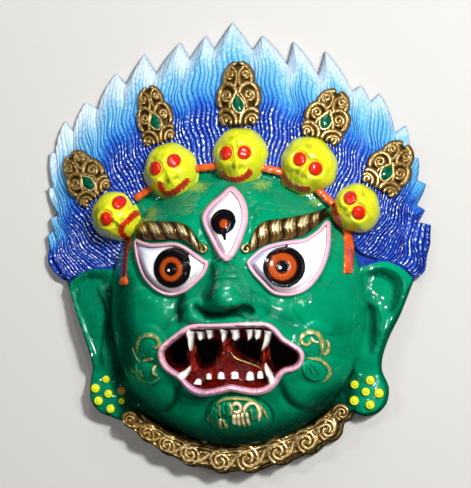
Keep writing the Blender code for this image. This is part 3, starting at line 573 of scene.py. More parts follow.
def add(
    tree: bpy.types.NodeTree, kind: str, inputs: dict | None = None, **settings: object
) -> bpy.types.Node:
    """Adds a node to a material.

    Args:
        tree: The material's nodes.
        kind: The node's type.
        inputs: For a socket's name or number, a value or another node's output.
        settings: The node's own settings.

    Returns:
        The new node.
    """
    made = tree.nodes.new(kind)
    for key, value in settings.items():
        setattr(made, key, value)
    for key, value in (inputs or {}).items():
        if isinstance(value, bpy.types.NodeSocket):
            tree.links.new(value, made.inputs[key])
        else:
            made.inputs[key].default_value = value
    return made


@dataclass(frozen=True)
class Layer:
    """One colour laid over a paint where a value of the mesh says so."""

    value: str  # which value of the mesh it follows
    colour: str
    start: float  # the value at which it begins
    full: float  # the value at which it is at its strongest
    strength: float = 1.0  # how much it covers there
    ragged: float = 0.0  # how far brush marks move its border, in the value's own unit


@dataclass(frozen=True)
class Paint:
    """A brushed enamel or bronze paint on cast resin, with what lies over it."""

    name: str
    colour: str
    second: str  # what thin and thick places vary towards
    layers: tuple[Layer, ...] = ()
    roughness: float = 0.25  # its middle, from which brush marks vary it
    varnish: float = 0.6  # clear gloss coat
    gloss: float = 0.3  # reflection of the paint itself
    ior: float = 1.5
    metallic: float = 0.0
    blotch_mm: float = 14.0  # size of the lighter and darker places
    stroke_mm: tuple[float, float] = (1.2, 6.0)  # width and length of a brush mark
    relief_mm: float = 0.12  # height of the brush marks
    variety: float = 0.5  # how far those places go towards either colour
    coat_roughness: float = 0.03
    matt: str = ""  # value of the mesh that takes the clear coat away where it is 1
    matt_coat: float = 0.06  # what is left of the coat there
    waves_mm: tuple[float, float] = (0.0, 0.0)  # size and height of the clear coat's own waves

    def material(self) -> bpy.types.Material:
        """Builds the material.

        Returns:
            The new material.
        """
        made = bpy.data.materials.new(self.name)
        made.use_nodes = True
        tree = made.node_tree
        shader = tree.nodes["Principled BSDF"]
        flow = add(tree, "ShaderNodeAttribute", attribute_name="flow").outputs["Vector"]
        wide, long = self.stroke_mm
        lie = add(
            tree, "ShaderNodeVectorMath", {0: flow, 1: (1 / wide, 1 / long, 1 / wide)}, operation="MULTIPLY"
        ).outputs[0]
        stroke = add(tree, "ShaderNodeTexNoise", {"Vector": lie, "Scale": 1.0, "Detail": 3.0}).outputs["Fac"]
        blotch = add(
            tree, "ShaderNodeTexNoise", {"Vector": flow, "Scale": 1 / self.blotch_mm, "Detail": 3.0}
        ).outputs["Fac"]
        uneven = add(
            tree, "ShaderNodeMapRange",
            {0: blotch, 1: 0.35, 2: 0.65, 3: 0.5 - self.variety, 4: 0.5 + self.variety},
        ).outputs[0]
        colours = {0: uneven, 6: linear(self.colour), 7: linear(self.second)}
        colour = add(tree, "ShaderNodeMix", colours, data_type="RGBA").outputs[2]
        for layer in self.layers:
            value = add(tree, "ShaderNodeAttribute", attribute_name=layer.value).outputs["Fac"]
            if layer.ragged:
                span = {0: stroke, 1: 0.3, 2: 0.7, 3: -layer.ragged, 4: layer.ragged}
                shake = add(tree, "ShaderNodeMapRange", span).outputs[0]
                value = add(tree, "ShaderNodeMath", {0: value, 1: shake}, operation="ADD").outputs[0]
            span = {0: value, 1: layer.start, 2: layer.full, 3: 0.0, 4: layer.strength}
            cover = add(tree, "ShaderNodeMapRange", span).outputs[0]
            colours = {0: cover, 6: colour, 7: linear(layer.colour)}
            colour = add(tree, "ShaderNodeMix", colours, data_type="RGBA").outputs[2]
        dull = add(
            tree, "ShaderNodeMapRange",
            {0: stroke, 1: 0.3, 2: 0.7, 3: self.roughness * 0.7, 4: self.roughness * 1.35},
        ).outputs[0]
        bump = add(
            tree, "ShaderNodeBump", {"Height": stroke, "Distance": self.relief_mm * MM, "Strength": 1.0}
        ).outputs[0]
        linked = {"Base Color": colour, "Roughness": dull, "Normal": bump, "Coat Normal": bump}
        size, swell = self.waves_mm
        if size:
            waves = {"Vector": flow, "Scale": 1 / size, "Detail": 0.0}
            wave = add(tree, "ShaderNodeTexNoise", waves).outputs["Fac"]
            thick = add(tree, "ShaderNodeMapRange", {0: blotch, 1: 0.38, 2: 0.6, 3: 0.25, 4: 1.0}).outputs[0]
            height = add(tree, "ShaderNodeMath", {0: wave, 1: thick}, operation="MULTIPLY").outputs[0]
            surface = {"Height": height, "Distance": swell * MM}
            linked["Coat Normal"] = add(tree, "ShaderNodeBump", surface).outputs[0]
        if self.matt:
            value = add(tree, "ShaderNodeAttribute", attribute_name=self.matt).outputs["Fac"]
            span = {0: value, 1: 0.15, 2: 0.8, 3: self.varnish, 4: self.matt_coat}
            linked["Coat Weight"] = add(tree, "ShaderNodeMapRange", span).outputs[0]
        for key, value in linked.items():
            tree.links.new(value, shader.inputs[key])
        shader.inputs["Metallic"].default_value = self.metallic
        shader.inputs["Specular IOR Level"].default_value = self.gloss
        shader.inputs["IOR"].default_value = shader.inputs["Coat IOR"].default_value = self.ior
        shader.inputs["Coat Weight"].default_value = self.varnish
        shader.inputs["Coat Roughness"].default_value = self.coat_roughness
        return made


GLAZE_AND_SHADE = "glaze_and_shade"  # 1 in creases, hollows and on the shaded side: dark glazing with painted shade
RUB_AND_HIGHLIGHT = "rub_and_highlight"  # 1 on ridges and crests: pale paint rubbed on, with a painted highlight where they are highest


class Finish(Enum):
    """The paints on the casting."""

    # Alkyd enamel brushed on the face and ears: deep gloss, dark glazing with painted shade in the creases and
    # on the left side, gold rubbed on curls with a cream painted highlight on their crests
    SKIN = Paint(
        "green_alkyd_enamel", "#02845c", "#036c49",
        (
            Layer(GLAZE_AND_SHADE, "#021f19", 0.15, 1.0, 0.96, 0.1),
            Layer("smudge", "#a3b13a", 0.3, 0.9, 0.55, 0.25),
            Layer(RUB_AND_HIGHLIGHT, "#a5853f", 0.45, 0.85, 0.9, 0.22),
            Layer(RUB_AND_HIGHLIGHT, "#f1e6c0", 0.82, 1.1, 0.9, 0.25),
        ),
        roughness=0.3, varnish=1.0, gloss=0.0, ior=1.5, blotch_mm=18.0, stroke_mm=(1.9, 3.4), relief_mm=0.2,
        variety=0.35, matt="dull", waves_mm=(4.0, 1.5),
    )
    # Dry-brushed hair: royal blue at the roots, sky blue and then white at the tips, white dry-brush flecks on
    # the strands that are partly painted glints, and dark lines in the grooves between them that are partly
    # painted shade
    HAIR = Paint(
        "dry_brushed_blue_acrylic", "#0f2a8c", "#1742a6",
        (
            Layer("tone", "#1d56b4", 0.38, 0.54, 1.0, 0.1),
            Layer("tone", "#3a86c3", 0.52, 0.66, 1.0, 0.1),
            Layer("tone", "#5a9fc9", 0.62, 0.80, 1.0, 0.1),
            Layer("tone", "#b3c3cf", 0.82, 1.04, 1.0, 0.14),
            Layer("groove", "#081048", 0.25, 0.9, 0.95, 0.1),
            Layer("pale_groove", "#2c5f8e", 0.25, 0.9, 0.9, 0.1),
            Layer("drybrush_and_glint", "#d3e0f2", 0.86, 1.0, 1.0, 0.75),
        ),
        roughness=0.26, varnish=0.25, gloss=0.3, blotch_mm=9.0, stroke_mm=(0.9, 2.1), relief_mm=0.34,
    )
    # Bronze paint over brown, rubbed pale on the ridges: old gold, with a cream painted highlight on the
    # crests and dark glazing with painted shade in the grooves and at the edges
    GOLD = Paint(
        "antique_gold_paint", "#64481b", "#785a25",
        (
            Layer(GLAZE_AND_SHADE, "#170d05", 0.22, 0.8, 1.0, 0.1),
            Layer(RUB_AND_HIGHLIGHT, "#b8995a", 0.66, 0.96, 0.85, 0.2),
            Layer(RUB_AND_HIGHLIGHT, "#efe0b2", 0.9, 1.08, 0.92, 0.25),
        ),
        roughness=0.3, varnish=0.2, metallic=0.5, blotch_mm=6.0, stroke_mm=(0.8, 2.4), relief_mm=0.14,
    )
    # Lemon enamel with olive painted shade on the side away from the light, in the nostrils and round the rim,
    # some olive smudges, and red eyes and mouth
    BONE = Paint(
        "lemon_alkyd_enamel", "#c5ca20", "#b4b818",
        (
            Layer("shade", "#6b7314", 0.3, 1.0, 0.8, 0.3),
            Layer("mouth", "#b02808", -0.1, 0.2, 1.0, 0.5),
            Layer("mouth", "#520a06", 1.3, 2.0, 0.75, 0.8),
            Layer("socket", "#d8961a", -0.9, -0.3, 0.8, 0.25),
            Layer("socket", "#8c1009", -0.15, 0.1, 1.0, 0.1),
            Layer("socket", "#b81a06", 0.25, 0.7, 1.0, 0.25),
        ),
        roughness=0.24, varnish=0.4, blotch_mm=7.0, relief_mm=0.1,
    )
    # White enamel eyeballs, with painted iris and pupil, a white painted glint in the pupil, and blue-grey
    # painted shade on their left and along the lid
    EYE = Paint(
        "white_alkyd_enamel", "#f3f3f2", "#e6eaf0",
        (
            Layer("shade", "#7f97cc", 0.3, 1.0, 0.6, 0.2),
            Layer("disc", "#0b090d", -0.1, 0.15, 1.0, 0.15),
            Layer("ring", "#4a1606", -0.35, 0.1, 1.0, 0.1),
            Layer("ring", "#963c10", 0.25, 0.8, 1.0, 0.2),
            Layer("pupil", "#0b090d", -0.1, 0.15, 1.0, 0.1),
            Layer("painted_glint", "#f5f2ee", 0.0, 0.2, 1.0, 0.1),
        ),
        roughness=0.16, varnish=0.5, gloss=0.2, blotch_mm=10.0, relief_mm=0.05,
    )
    # Pink enamel lids and lips, with a dark painted shadow line on their inner side, and painted shade on the
    # lips' lower left and at their edges
    PINK = Paint(
        "pink_alkyd_enamel", "#dbacb9", "#d09aac",
        (
            Layer(GLAZE_AND_SHADE, "#6a4050", 0.45, 1.0, 0.8, 0.12),
            Layer("line", "#7a1c2c", 0.35, 0.9, 0.85, 0.15),
            Layer("shade", "#7d6690", 0.3, 1.0, 0.65, 0.15),
        ),
        roughness=0.24, varnish=0.4, blotch_mm=8.0, relief_mm=0.08,
    )
    # Deep red glossy mouth, with an orange painted highlight on its ridges and painted shade in its hollows
    # and round its holes
    MOUTH = Paint(
        "crimson_alkyd_enamel", "#620906", "#430504",
        (
            Layer(GLAZE_AND_SHADE, "#100202", 0.3, 1.0, 0.97, 0.1),
            Layer(RUB_AND_HIGHLIGHT, "#c8401a", 0.25, 0.75, 0.85, 0.35),
        ),
        roughness=0.16, varnish=0.7, gloss=0.0, blotch_mm=5.0, relief_mm=0.3, matt="dull",
        waves_mm=(2.8, 1.2),
    )
    # White enamel teeth, grey at the gum
    TOOTH = Paint(
        "ivory_alkyd_enamel", "#f6f5f0", "#e9e6dc", (Layer(GLAZE_AND_SHADE, "#8c6a62", 0.35, 1.0, 0.8, 0.1),),
        roughness=0.2, varnish=0.8, blotch_mm=3.0, relief_mm=0.05,
    )
    # Orange enamel band, redder where it is thin, with painted shade along its edges
    BAND = Paint(
        "orange_alkyd_enamel", "#cc5716", "#b03f10",
        (Layer(GLAZE_AND_SHADE, "#5a160c", 0.3, 1.0, 0.85, 0.15), Layer("dark", "#4a0f0b", 0.3, 0.9, 0.95, 0.2)),
        roughness=0.28, varnish=0.6, blotch_mm=5.0, relief_mm=0.12,
    )
    # Yellow beads with olive painted shade at their edge and in their ring groove
    BEAD = Paint(
        "yellow_alkyd_enamel", "#cfd41a", "#b8c314",
        (Layer(GLAZE_AND_SHADE, "#46701a", 0.2, 0.9, 0.95, 0.15), Layer("dark", "#6e4a1c", 0.3, 0.9, 0.85, 0.3)),
        roughness=0.22, varnish=0.8, blotch_mm=2.5, relief_mm=0.05,
    )
    # Emerald enamel drops in the ornaments, darker towards their edge as painted shade
    GEM = Paint(
        "emerald_alkyd_enamel", "#04553a", "#023a25", (Layer(GLAZE_AND_SHADE, "#02261b", 0.35, 1.0, 0.9, 0.1),),
        roughness=0.14, varnish=0.4, ior=1.4, blotch_mm=3.0, relief_mm=0.04,
    )
    # Bare cast resin of the hollow back: matt grey-brown with the mould's texture, darker where the front's
    # glazing and painted shade lie
    RESIN = Paint(
        "cast_polyester_resin", "#6d655a", "#574f46", (Layer(GLAZE_AND_SHADE, "#38322c", 0.4, 1.0, 0.5, 0.2),),
        roughness=0.62, varnish=0.0, blotch_mm=25.0, stroke_mm=(2.5, 2.5), relief_mm=0.25,
    )


MATERIALS: dict[Finish, bpy.types.Material] = {}


def dressed(*finishes: Finish) -> list[bpy.types.Material]:
    """Returns the materials of some finishes, each made once."""
    for finish in finishes:
        if finish not in MATERIALS:
            MATERIALS[finish] = finish.value.material()
    return [MATERIALS[f] for f in finishes]


@dataclass
class Relief:
    """The carved ground of the casting, as heights over its plane, in mm."""

    wall: float = 5.0
    rim_width: float = 7.5  # of the flat back rim that the mask lies on
    edge: float = 6.5  # height of the outline's edge
    round_mm: float = 3.5  # how far the rounding reaches in from the outline
    plate_rise: float = 5.5  # the flat ground of the ears over the edge
    jaw_height: float = 17.0  # of the face's border
    face_rise: float = 62.0  # of the face's dome over its border
    crown_rise: float = 40.0  # of the hair's fan over the edge
    nose_rise: float = 24.0
    wrinkle_mm: float = 3.1  # from one wrinkle of the bridge to the next
    chin_rise: float = 12.0
    beard_rise: float = 12.5
    ear_rise: float = 11.0
    mouth_depth: float = 11.0
    hair_sheet: float = 4.6  # how far the core lies under the strands
    skin: float = 1.8  # how far the core lies under the eyes and the beard
    bone: float = 5.0  # how far it lies under the skulls
    step: float = 1.0  # between two points of the height maps
    roof_reach: int = 3  # how many steps away the hollow side still counts

    def __post_init__(self) -> None:
        """Draws the edge and works out the height maps."""
        self.rim = outline()
        self.gx, self.gy = np.arange(-140, 141, self.step), np.arange(-160, 161, self.step)
        xx, yy = (a.ravel() for a in np.meshgrid(self.gx, self.gy))
        shape = (len(self.gy), len(self.gx))
        gap = nearest(self.rim, xx, yy, closed=True)[0]
        self.edge_gap = np.where(inside(self.rim, xx, yy), gap, -gap).reshape(shape)
        full = self.carved(xx, yy, np.abs(gap), core=False).reshape(shape)
        self.ground = self.carved(xx, yy, np.full(xx.shape, FAR), core=False, forms=False).reshape(shape)
        self.hollow = self.sunk(np.where(self.edge_gap > 0, full, 0))
        span = range(-self.roof_reach, self.roof_reach + 1)
        near = [(i, j) for i in span for j in span if math.hypot(i, j) <= self.roof_reach]
        self.roof = np.maximum.reduce([np.roll(self.hollow, spot, (0, 1)) for spot in near])
        # How deep each place lies in a crease, which the paint darkens as glazing with painted shade
        self.crease = np.clip((self.blurred(self.ground, 5) - self.ground) / 2.2, 0, 1)

    def crown(self, x: Array, y: Array) -> Array:
        """Returns the smooth fan of the hair crown."""
        r = np.hypot(x / 129, (y + 12) / 164)
        return self.edge + self.crown_rise * np.clip(1 - r**2, 0, 1) * (0.55 + 0.45 * ease(-15, 35, y))

    def sheet(self, x: Array, y: Array, under: float) -> Array:
        """Returns the ground of hair and ears, lying some way under the strands."""
        low = ease(-32, -16, y)
        return (self.crown(x, y) - under) * low + (self.edge + self.plate_rise) * (1 - low)

    def face(self, x: Array, y: Array) -> Array:
        """Returns the bare dome of the face with brow ridge, cheeks and jowls."""
        r = np.clip(np.hypot(x / 83, (y + 36) / 90), 0, 1)
        z = self.jaw_height + self.face_rise * (1 - r**2.35) ** 0.64
        z += 10 * hill(x, y, 0, 12, 30, 24) + 5 * hill(x, y, -36, 19, 22, 9) + 5 * hill(x, y, 38, 21, 22, 9)
        for *where, rise, turn in CHEEKS:
            z = z + rise * cap(x, y, *where, turn, 0.7)
        z += 5 * hill(x, y, 1, -66, 42, 26)
        for pad in CURL_PADS:
            z = z + 2.2 * cap(x, y, *pad, power=0.6)
        return z * (r < 1)

    def ears(self, x: Array, y: Array, z: Array) -> Array:
        """Adds the long ears with a rolled rim and a hollow, and their lobes."""
        base = self.edge + 4.5
        for sign, edge, _ in EARS:
            lobe = cap(x, y, sign * LOBE, LOBE_Y, 17, 20)
            z = np.where(lobe > 0, blend(z, base - 2 + 9 * lobe, 2.0), z)
            inward = self.ear_rise * np.clip((112 - sign * x) / 30, 0, 1)
            plate = base + inward + 2.5 * cap(x, y, sign * 94, -34, 12, 22)
            plate -= (4.0 if sign > 0 else 2.0) * hill(x, y, sign * 98, -21, 9, 6)
            plate -= (0.5 if sign < 0 else 2.5) * hill(x, y, sign * 86, -46, 5.0, 24)
            plate -= 4.0 * ease(-66, -80, y)
            loop = curve(edge, closed=True)
            off = np.where(inside(loop, x, y), 0, nearest(loop, x, y, 12, closed=True)[0])
            off = np.where((y < -60) | (off == 0), off, 99)
            z = blend(z, plate - 0.9 * off, 1.0)
        for line, half, rise in EAR_CARVING:
            gap, share, _ = nearest(curve(line), x, y, 9)
            z = z + rise * np.exp(-((gap / half) ** 2)) * ease(0, 0.12, share) * ease(1.0, 0.85, share)
        return z

    def folds(self, x: Array, y: Array, z: Array) -> Array:
        """Adds the folds beside nose and mouth, and the knob of the chin."""
        for line, deep in [(f, 4.0) for f in JOWL_FOLDS] + [(f, 3.0) for f in SMILE_FOLDS]:
            gap, share, _ = nearest(curve(line), x, y, 12)
            middle = np.sin(math.pi * np.clip(share * 0.9 + 0.08, 0, 1)) ** 0.6
            z = z - deep * np.exp(-((gap / 3.0) ** 2)) * middle
        z = z - 3.0 * hill(x, y, *CHIN_KNOB[:2], 24, 18)
        return z + self.chin_rise * cap(x, y, *CHIN_KNOB)

    def nose(self, x: Array, y: Array, z: Array) -> Array:
        """Adds the wrinkled bridge, the tip, the wings and the line under them."""
        down = ease(4, -28, y)
        bridge = np.exp(-(np.abs((x - 2.0) / (9 + 4 * down)) ** 2.4)) * ease(-42, -32, y)
        wrinkle = np.cos((y + 6 + 0.02 * (x - 4) ** 2) * 2 * math.pi / self.wrinkle_mm)
        wrinkle = wrinkle * ease(0, -5, y) * ease(-27, -22, y)
        z = z + (3 + 0.55 * self.nose_rise * down + 0.8 * wrinkle) * bridge
        for part, *where in NOSE_CAPS:
            z = z + part * self.nose_rise * cap(x, y, *where)
        for rise, *where in NOSE_HILLS:
            z = z + rise * hill(x, y, *where)
        gap, share, _ = nearest(curve(NOSTRIL_LINE), x, y, 8)
        wide = 1.4 + 1.2 * ease(0.35, 0.1, share) + 0.5 * ease(0.7, 0.95, share)
        return z - (2.4 + 2.0 * ease(0.4, 0.1, share)) * np.exp(-((gap / wide) ** 2))

    def mouth(self, x: Array, y: Array, z: Array) -> Array:
        """Adds the sunk mouth with gums, posts and tongue."""
        loop = lip_loop()
        gap, _, _ = nearest(loop, x, y, 14, closed=True)
        within = inside(loop, x, y)
        z = z + 3.5 * ease(12, 0, gap) * ~within
        floor = z - self.mouth_depth * ease(0.8, 5.0, gap)
        floor += 3.0 * hill(x, y, 0, -80, 30, 4.5) + 2.0 * hill(x, y, 0, -49, 30, 3.0)
        for post in GUM_POSTS:
            floor = floor + 3.0 * tube(nearest(post, x, y, 5)[0], 4.2)
        for limb in TONGUE:
            floor = floor + 2.0 * tube(nearest(limb, x, y, 6)[0], 5.0)
        return np.where(within, floor, z)

    def beard(self, x: Array, y: Array) -> Array:
        """Returns the band that the beard scrolls sit on, and 0 away from it."""
        gap, share, _ = nearest(beard_line(), x, y, 16)
        wide = beard_half(share) * 1.15
        band = np.where(gap < wide, self.edge + 2.5 + 0.85 * self.beard_rise * tube(gap, wide), 0)
        for cx, cy, r in SCROLLS:
            disc = cap(x, y, cx, cy, r, r, power=0.4)
            band = np.maximum(band, (self.edge + 2.5 + self.beard_rise * (0.5 + 0.5 * disc)) * (disc > 0))
        return band

    def carved(self, x: Array, y: Array, edge_gap: Array, core: bool, forms: bool = True) -> Array:
        """Works out the height of the casting's front.

        Args:
            x: Places along X.
            y: Places along Y.
            edge_gap: How far each place lies from the mask's edge.
            core: Whether it is the core that the painted forms cover, a little lower than they are.
            forms: Whether eyes, skulls and beard are part of it.

        Returns:
            The height over each place.
        """
        z = self.sheet(x, y, self.hair_sheet if core else 1.2)
        z = blend(self.ears(x, y, z), self.face(x, y), 2.0 + 5.0 * ease(-20, -40, y) * ease(-98, -85, y))
        z = self.nose(x, y, self.folds(x, y, z))
        cover = self.skin if core else 0.0
        for eye in EYES:
            z = eye.carved(x, y, z, cover, forms)
        z = self.mouth(x, y, z)
        if forms:
            for skull in SKULLS:
                z = np.maximum(z, skull.carved(x, y, self) - self.bone * core)
            band = self.beard(x, y)
            z = np.maximum(z, (band - cover) * (band > 0))
        rounding = self.shoulder(edge_gap) - (np.where(y > -20, 2.4, 1.0) if core else 0.0)
        ear = (np.abs(x) > 76) & (y > -112) & (y < -14)
        rounding = rounding + 2.6 * edge_gap * ear
        return np.where((edge_gap < self.round_mm) | (core & (y > -10)) | ear, np.minimum(z, rounding), z)

    def shoulder(self, gap: Array, slope: float = 1.2) -> Array:
        """Returns the height of the rounded edge, by the distance from the outline."""
        bend = np.sqrt(1 - (1 - np.clip(gap / self.round_mm, 0, 1)) ** 2)
        return self.edge * (0.5 + 0.5 * bend) + slope * gap

    def bevel(self, gap: Array) -> Array:
        """Returns how high a form may rise near the edge, by the distance from it."""
        return np.where(gap < self.round_mm, self.shoulder(gap), FAR)

    def blurred(self, z: Array, times: int) -> Array:
        """Returns a height map smoothed a number of times."""
        for _ in range(times):
            p = np.pad(z, 1, mode="edge")
            z = (p[:-2, 1:-1] + p[2:, 1:-1] + p[1:-1, :-2] + p[1:-1, 2:] + 2 * z) / 6
        return z

    def sunk(self, z: Array) -> Array:
        """Works out the hollow side.

        Args:
            z: The height map of the front.

        Returns:
            The height map of the back, one wall below it.
        """
        reach = int(math.ceil(self.wall / self.step))
        low = np.full(z.shape, 1e6)
        for i in range(-reach, reach + 1):
            for j in range(-reach, reach + 1):
                off = self.step * math.hypot(i, j)
                if off < self.wall:
                    low = np.minimum(low, np.roll(np.roll(z, i, 0), j, 1) - math.sqrt(self.wall**2 - off**2))
        soft = low
        for _ in range(12):
            soft = np.minimum(self.blurred(soft, 1), low + 0.25 * self.wall)
        flat = np.clip((self.edge_gap - self.rim_width) * 1.3, 0, None)
        return np.clip(np.minimum(soft, flat), 0, None)

    def read(self, chart: Array, x: Array, y: Array) -> Array:
        """Reads a map between its points.

        Args:
            chart: The map.
            x: Places along X.
            y: Places along Y.

        Returns:
            Its value at each place.
        """
        u = np.clip((x - self.gx[0]) / self.step, 0, len(self.gx) - 1.001)
        v = np.clip((y - self.gy[0]) / self.step, 0, len(self.gy) - 1.001)
        i, j = v.astype(int), u.astype(int)
        fu, fv = u - j, v - i
        low = chart[i, j] * (1 - fu) + chart[i, j + 1] * fu
        high = chart[i + 1, j] * (1 - fu) + chart[i + 1, j + 1] * fu
        return low * (1 - fv) + high * fv

    def at(self, x: Array, y: Array) -> Array:
        """Returns the height of the bare ground at some places."""
        return self.read(self.ground, x, y)

    def buried(self, x: Array, y: Array, floor: Array, clear: float = 0.8) -> Array:
        """Raises the lower side of a form where it would come out of the hollow side.

        Args:
            x: Places along X.
            y: Places along Y.
            floor: The height of the form's lower side.
            clear: How far it stays above the highest point of the hollow side near it.

        Returns:
            The height of the lower side, inside the casting.
        """
        return np.maximum(floor, self.read(self.roof, x, y) + clear)


@dataclass
class Eye:
    """A bulging eyeball with painted iris, in a raised lid."""

    name: str
    loop: Line  # the lid's middle line
    ball: tuple[float, float, float, float]  # middle and half sizes of the bulge
    iris: tuple[float, float, float]  # middle and radius
    share: float = 1.0  # of the full bulge
    lid_width: float = 1.3
    lid_rise: float = 2.4
    bulge: float = 9.0
    drips: tuple[tuple[float, float, float], ...] = ()  # where black paint ran: place and radius
    painted_glint: float = 0.9  # radius of the white painted glint in the pupil
    ring_at: tuple[float, float] = (0.37, 0.70)  # edges of the coloured ring, as shares of the iris
    ring_shift: Point = (0.0, 0.0)  # from the iris's middle to the ring's

    def path(self, steps: int = 4) -> Array:
        """Returns the lid's middle line."""
        return curve(self.loop, closed=True, steps=steps)

    def globe(self, x: Array, y: Array, z: Array, gap: Array) -> Array:
        """Returns the eyeball's height, on the skin given by z and with the lid's line at a distance gap."""
        cx, cy, rx, ry = self.ball
        return z + self.share * self.bulge * cap(x, y, cx, cy, rx, ry) * ease(0.5, 5.0, gap) - 1.5

    def carved(self, x: Array, y: Array, z: Array, cover: float, forms: bool) -> Array:
        """Adds the socket to the ground, and the core of the eyeball.

        Args:
            x: Places along X.
            y: Places along Y.
            z: The ground so far.
            cover: How far the core lies below the eyeball.
            forms: Whether the eyeball is there.

        Returns:
            The new ground.
        """
        gap, _, _ = nearest(self.path(), x, y, 14, closed=True)
        within = inside(self.path(), x, y)
        ball = self.globe(x, y, z, gap) - cover if forms else z
        return np.where(within, ball, z - 2.5 * ease(9, 3, gap) * ease(0, 3, gap))

    def build(self, relief: Relief) -> None:
        """Builds eyeball and lid.

        Args:
            relief: The ground that they sit on.
        """
        path = evenly(self.path(8), 176, closed=True)
        cx, cy, radius = self.iris
        middle = np.array([cx, cy])
        arms = path - middle
        reach = np.hypot(*arms.T)
        shares = np.concatenate([np.linspace(0, 1.1, 26) * radius, np.linspace(0, 1, 13)[1:]])
        rings = []
        for k, s in enumerate(shares):
            length = s if k < 26 else radius * 1.1 + s * (reach - radius * 1.1)
            rings.append(middle + arms / reach[:, None] * np.minimum(length, reach)[:, None])
        flat = np.stack(rings, axis=1)
        x, y = flat[..., 0], flat[..., 1]
        r = np.hypot(x - cx, y - cy) / radius
        sx, sy = self.ring_shift
        q = np.hypot(x - cx - sx, y - cy - sy) / radius
        inner, outer = self.ring_at
        gap = nearest(path, x, y, closed=True)[0]
        z = self.globe(x, y, relief.at(x, y), gap)
        z += 0.9 * ease(1.03, 0.96, r)
        z += 0.8 * tube(q - (inner + outer) / 2, (outer - inner) / 2)
        z += 0.6 * tube(q, inner * 0.8) if inner > 0 else 0.0
        z -= 0.5 * np.exp(-(((r - 0.84) / 0.05) ** 2))
        painted_glint = np.hypot(x - cx - sx + 0.10 * radius, y - cy - sy + 0.05 * radius)
        across = (x - path[:, 0].min()) / np.ptp(path[:, 0])
        disc = (1 - r) * radius
        for px, py, wide in self.drips:
            disc = np.maximum(disc, wide - np.hypot(x - px, y - py))
        values = {
            "disc": disc,
            "ring": np.minimum(q - inner, outer - q) * radius,
            "pupil": (inner - q) * radius if inner > 0 else np.full(q.shape, -9.0),
            "painted_glint": self.painted_glint - painted_glint,
            # Blue-grey painted shade on the left of the eyeball and along the lid
            "shade": ease(0.42, 0.05, across) * 0.75 + 0.7 * ease(4.5, 0.8, gap) * ease(0.95, 0.3, across),
        }
        ball = slab(x, y, z, relief.buried(x, y, relief.at(x, y) - 3.0), values, closed=True)
        placed(f"{self.name}_ball", merged(ball), dressed(Finish.EYE))
        line = evenly(self.path(8), 220, closed=True)
        ahead = np.roll(line, -1, axis=0)
        if (line[:, 0] * ahead[:, 1] - ahead[:, 0] * line[:, 1]).sum() > 0:
            line = line[::-1]
        rim = ribbon(relief, line, self.lid_width, self.lid_rise, closed=True, sink=3.5)
        placed(f"{self.name}_lid", rim, dressed(Finish.PINK))


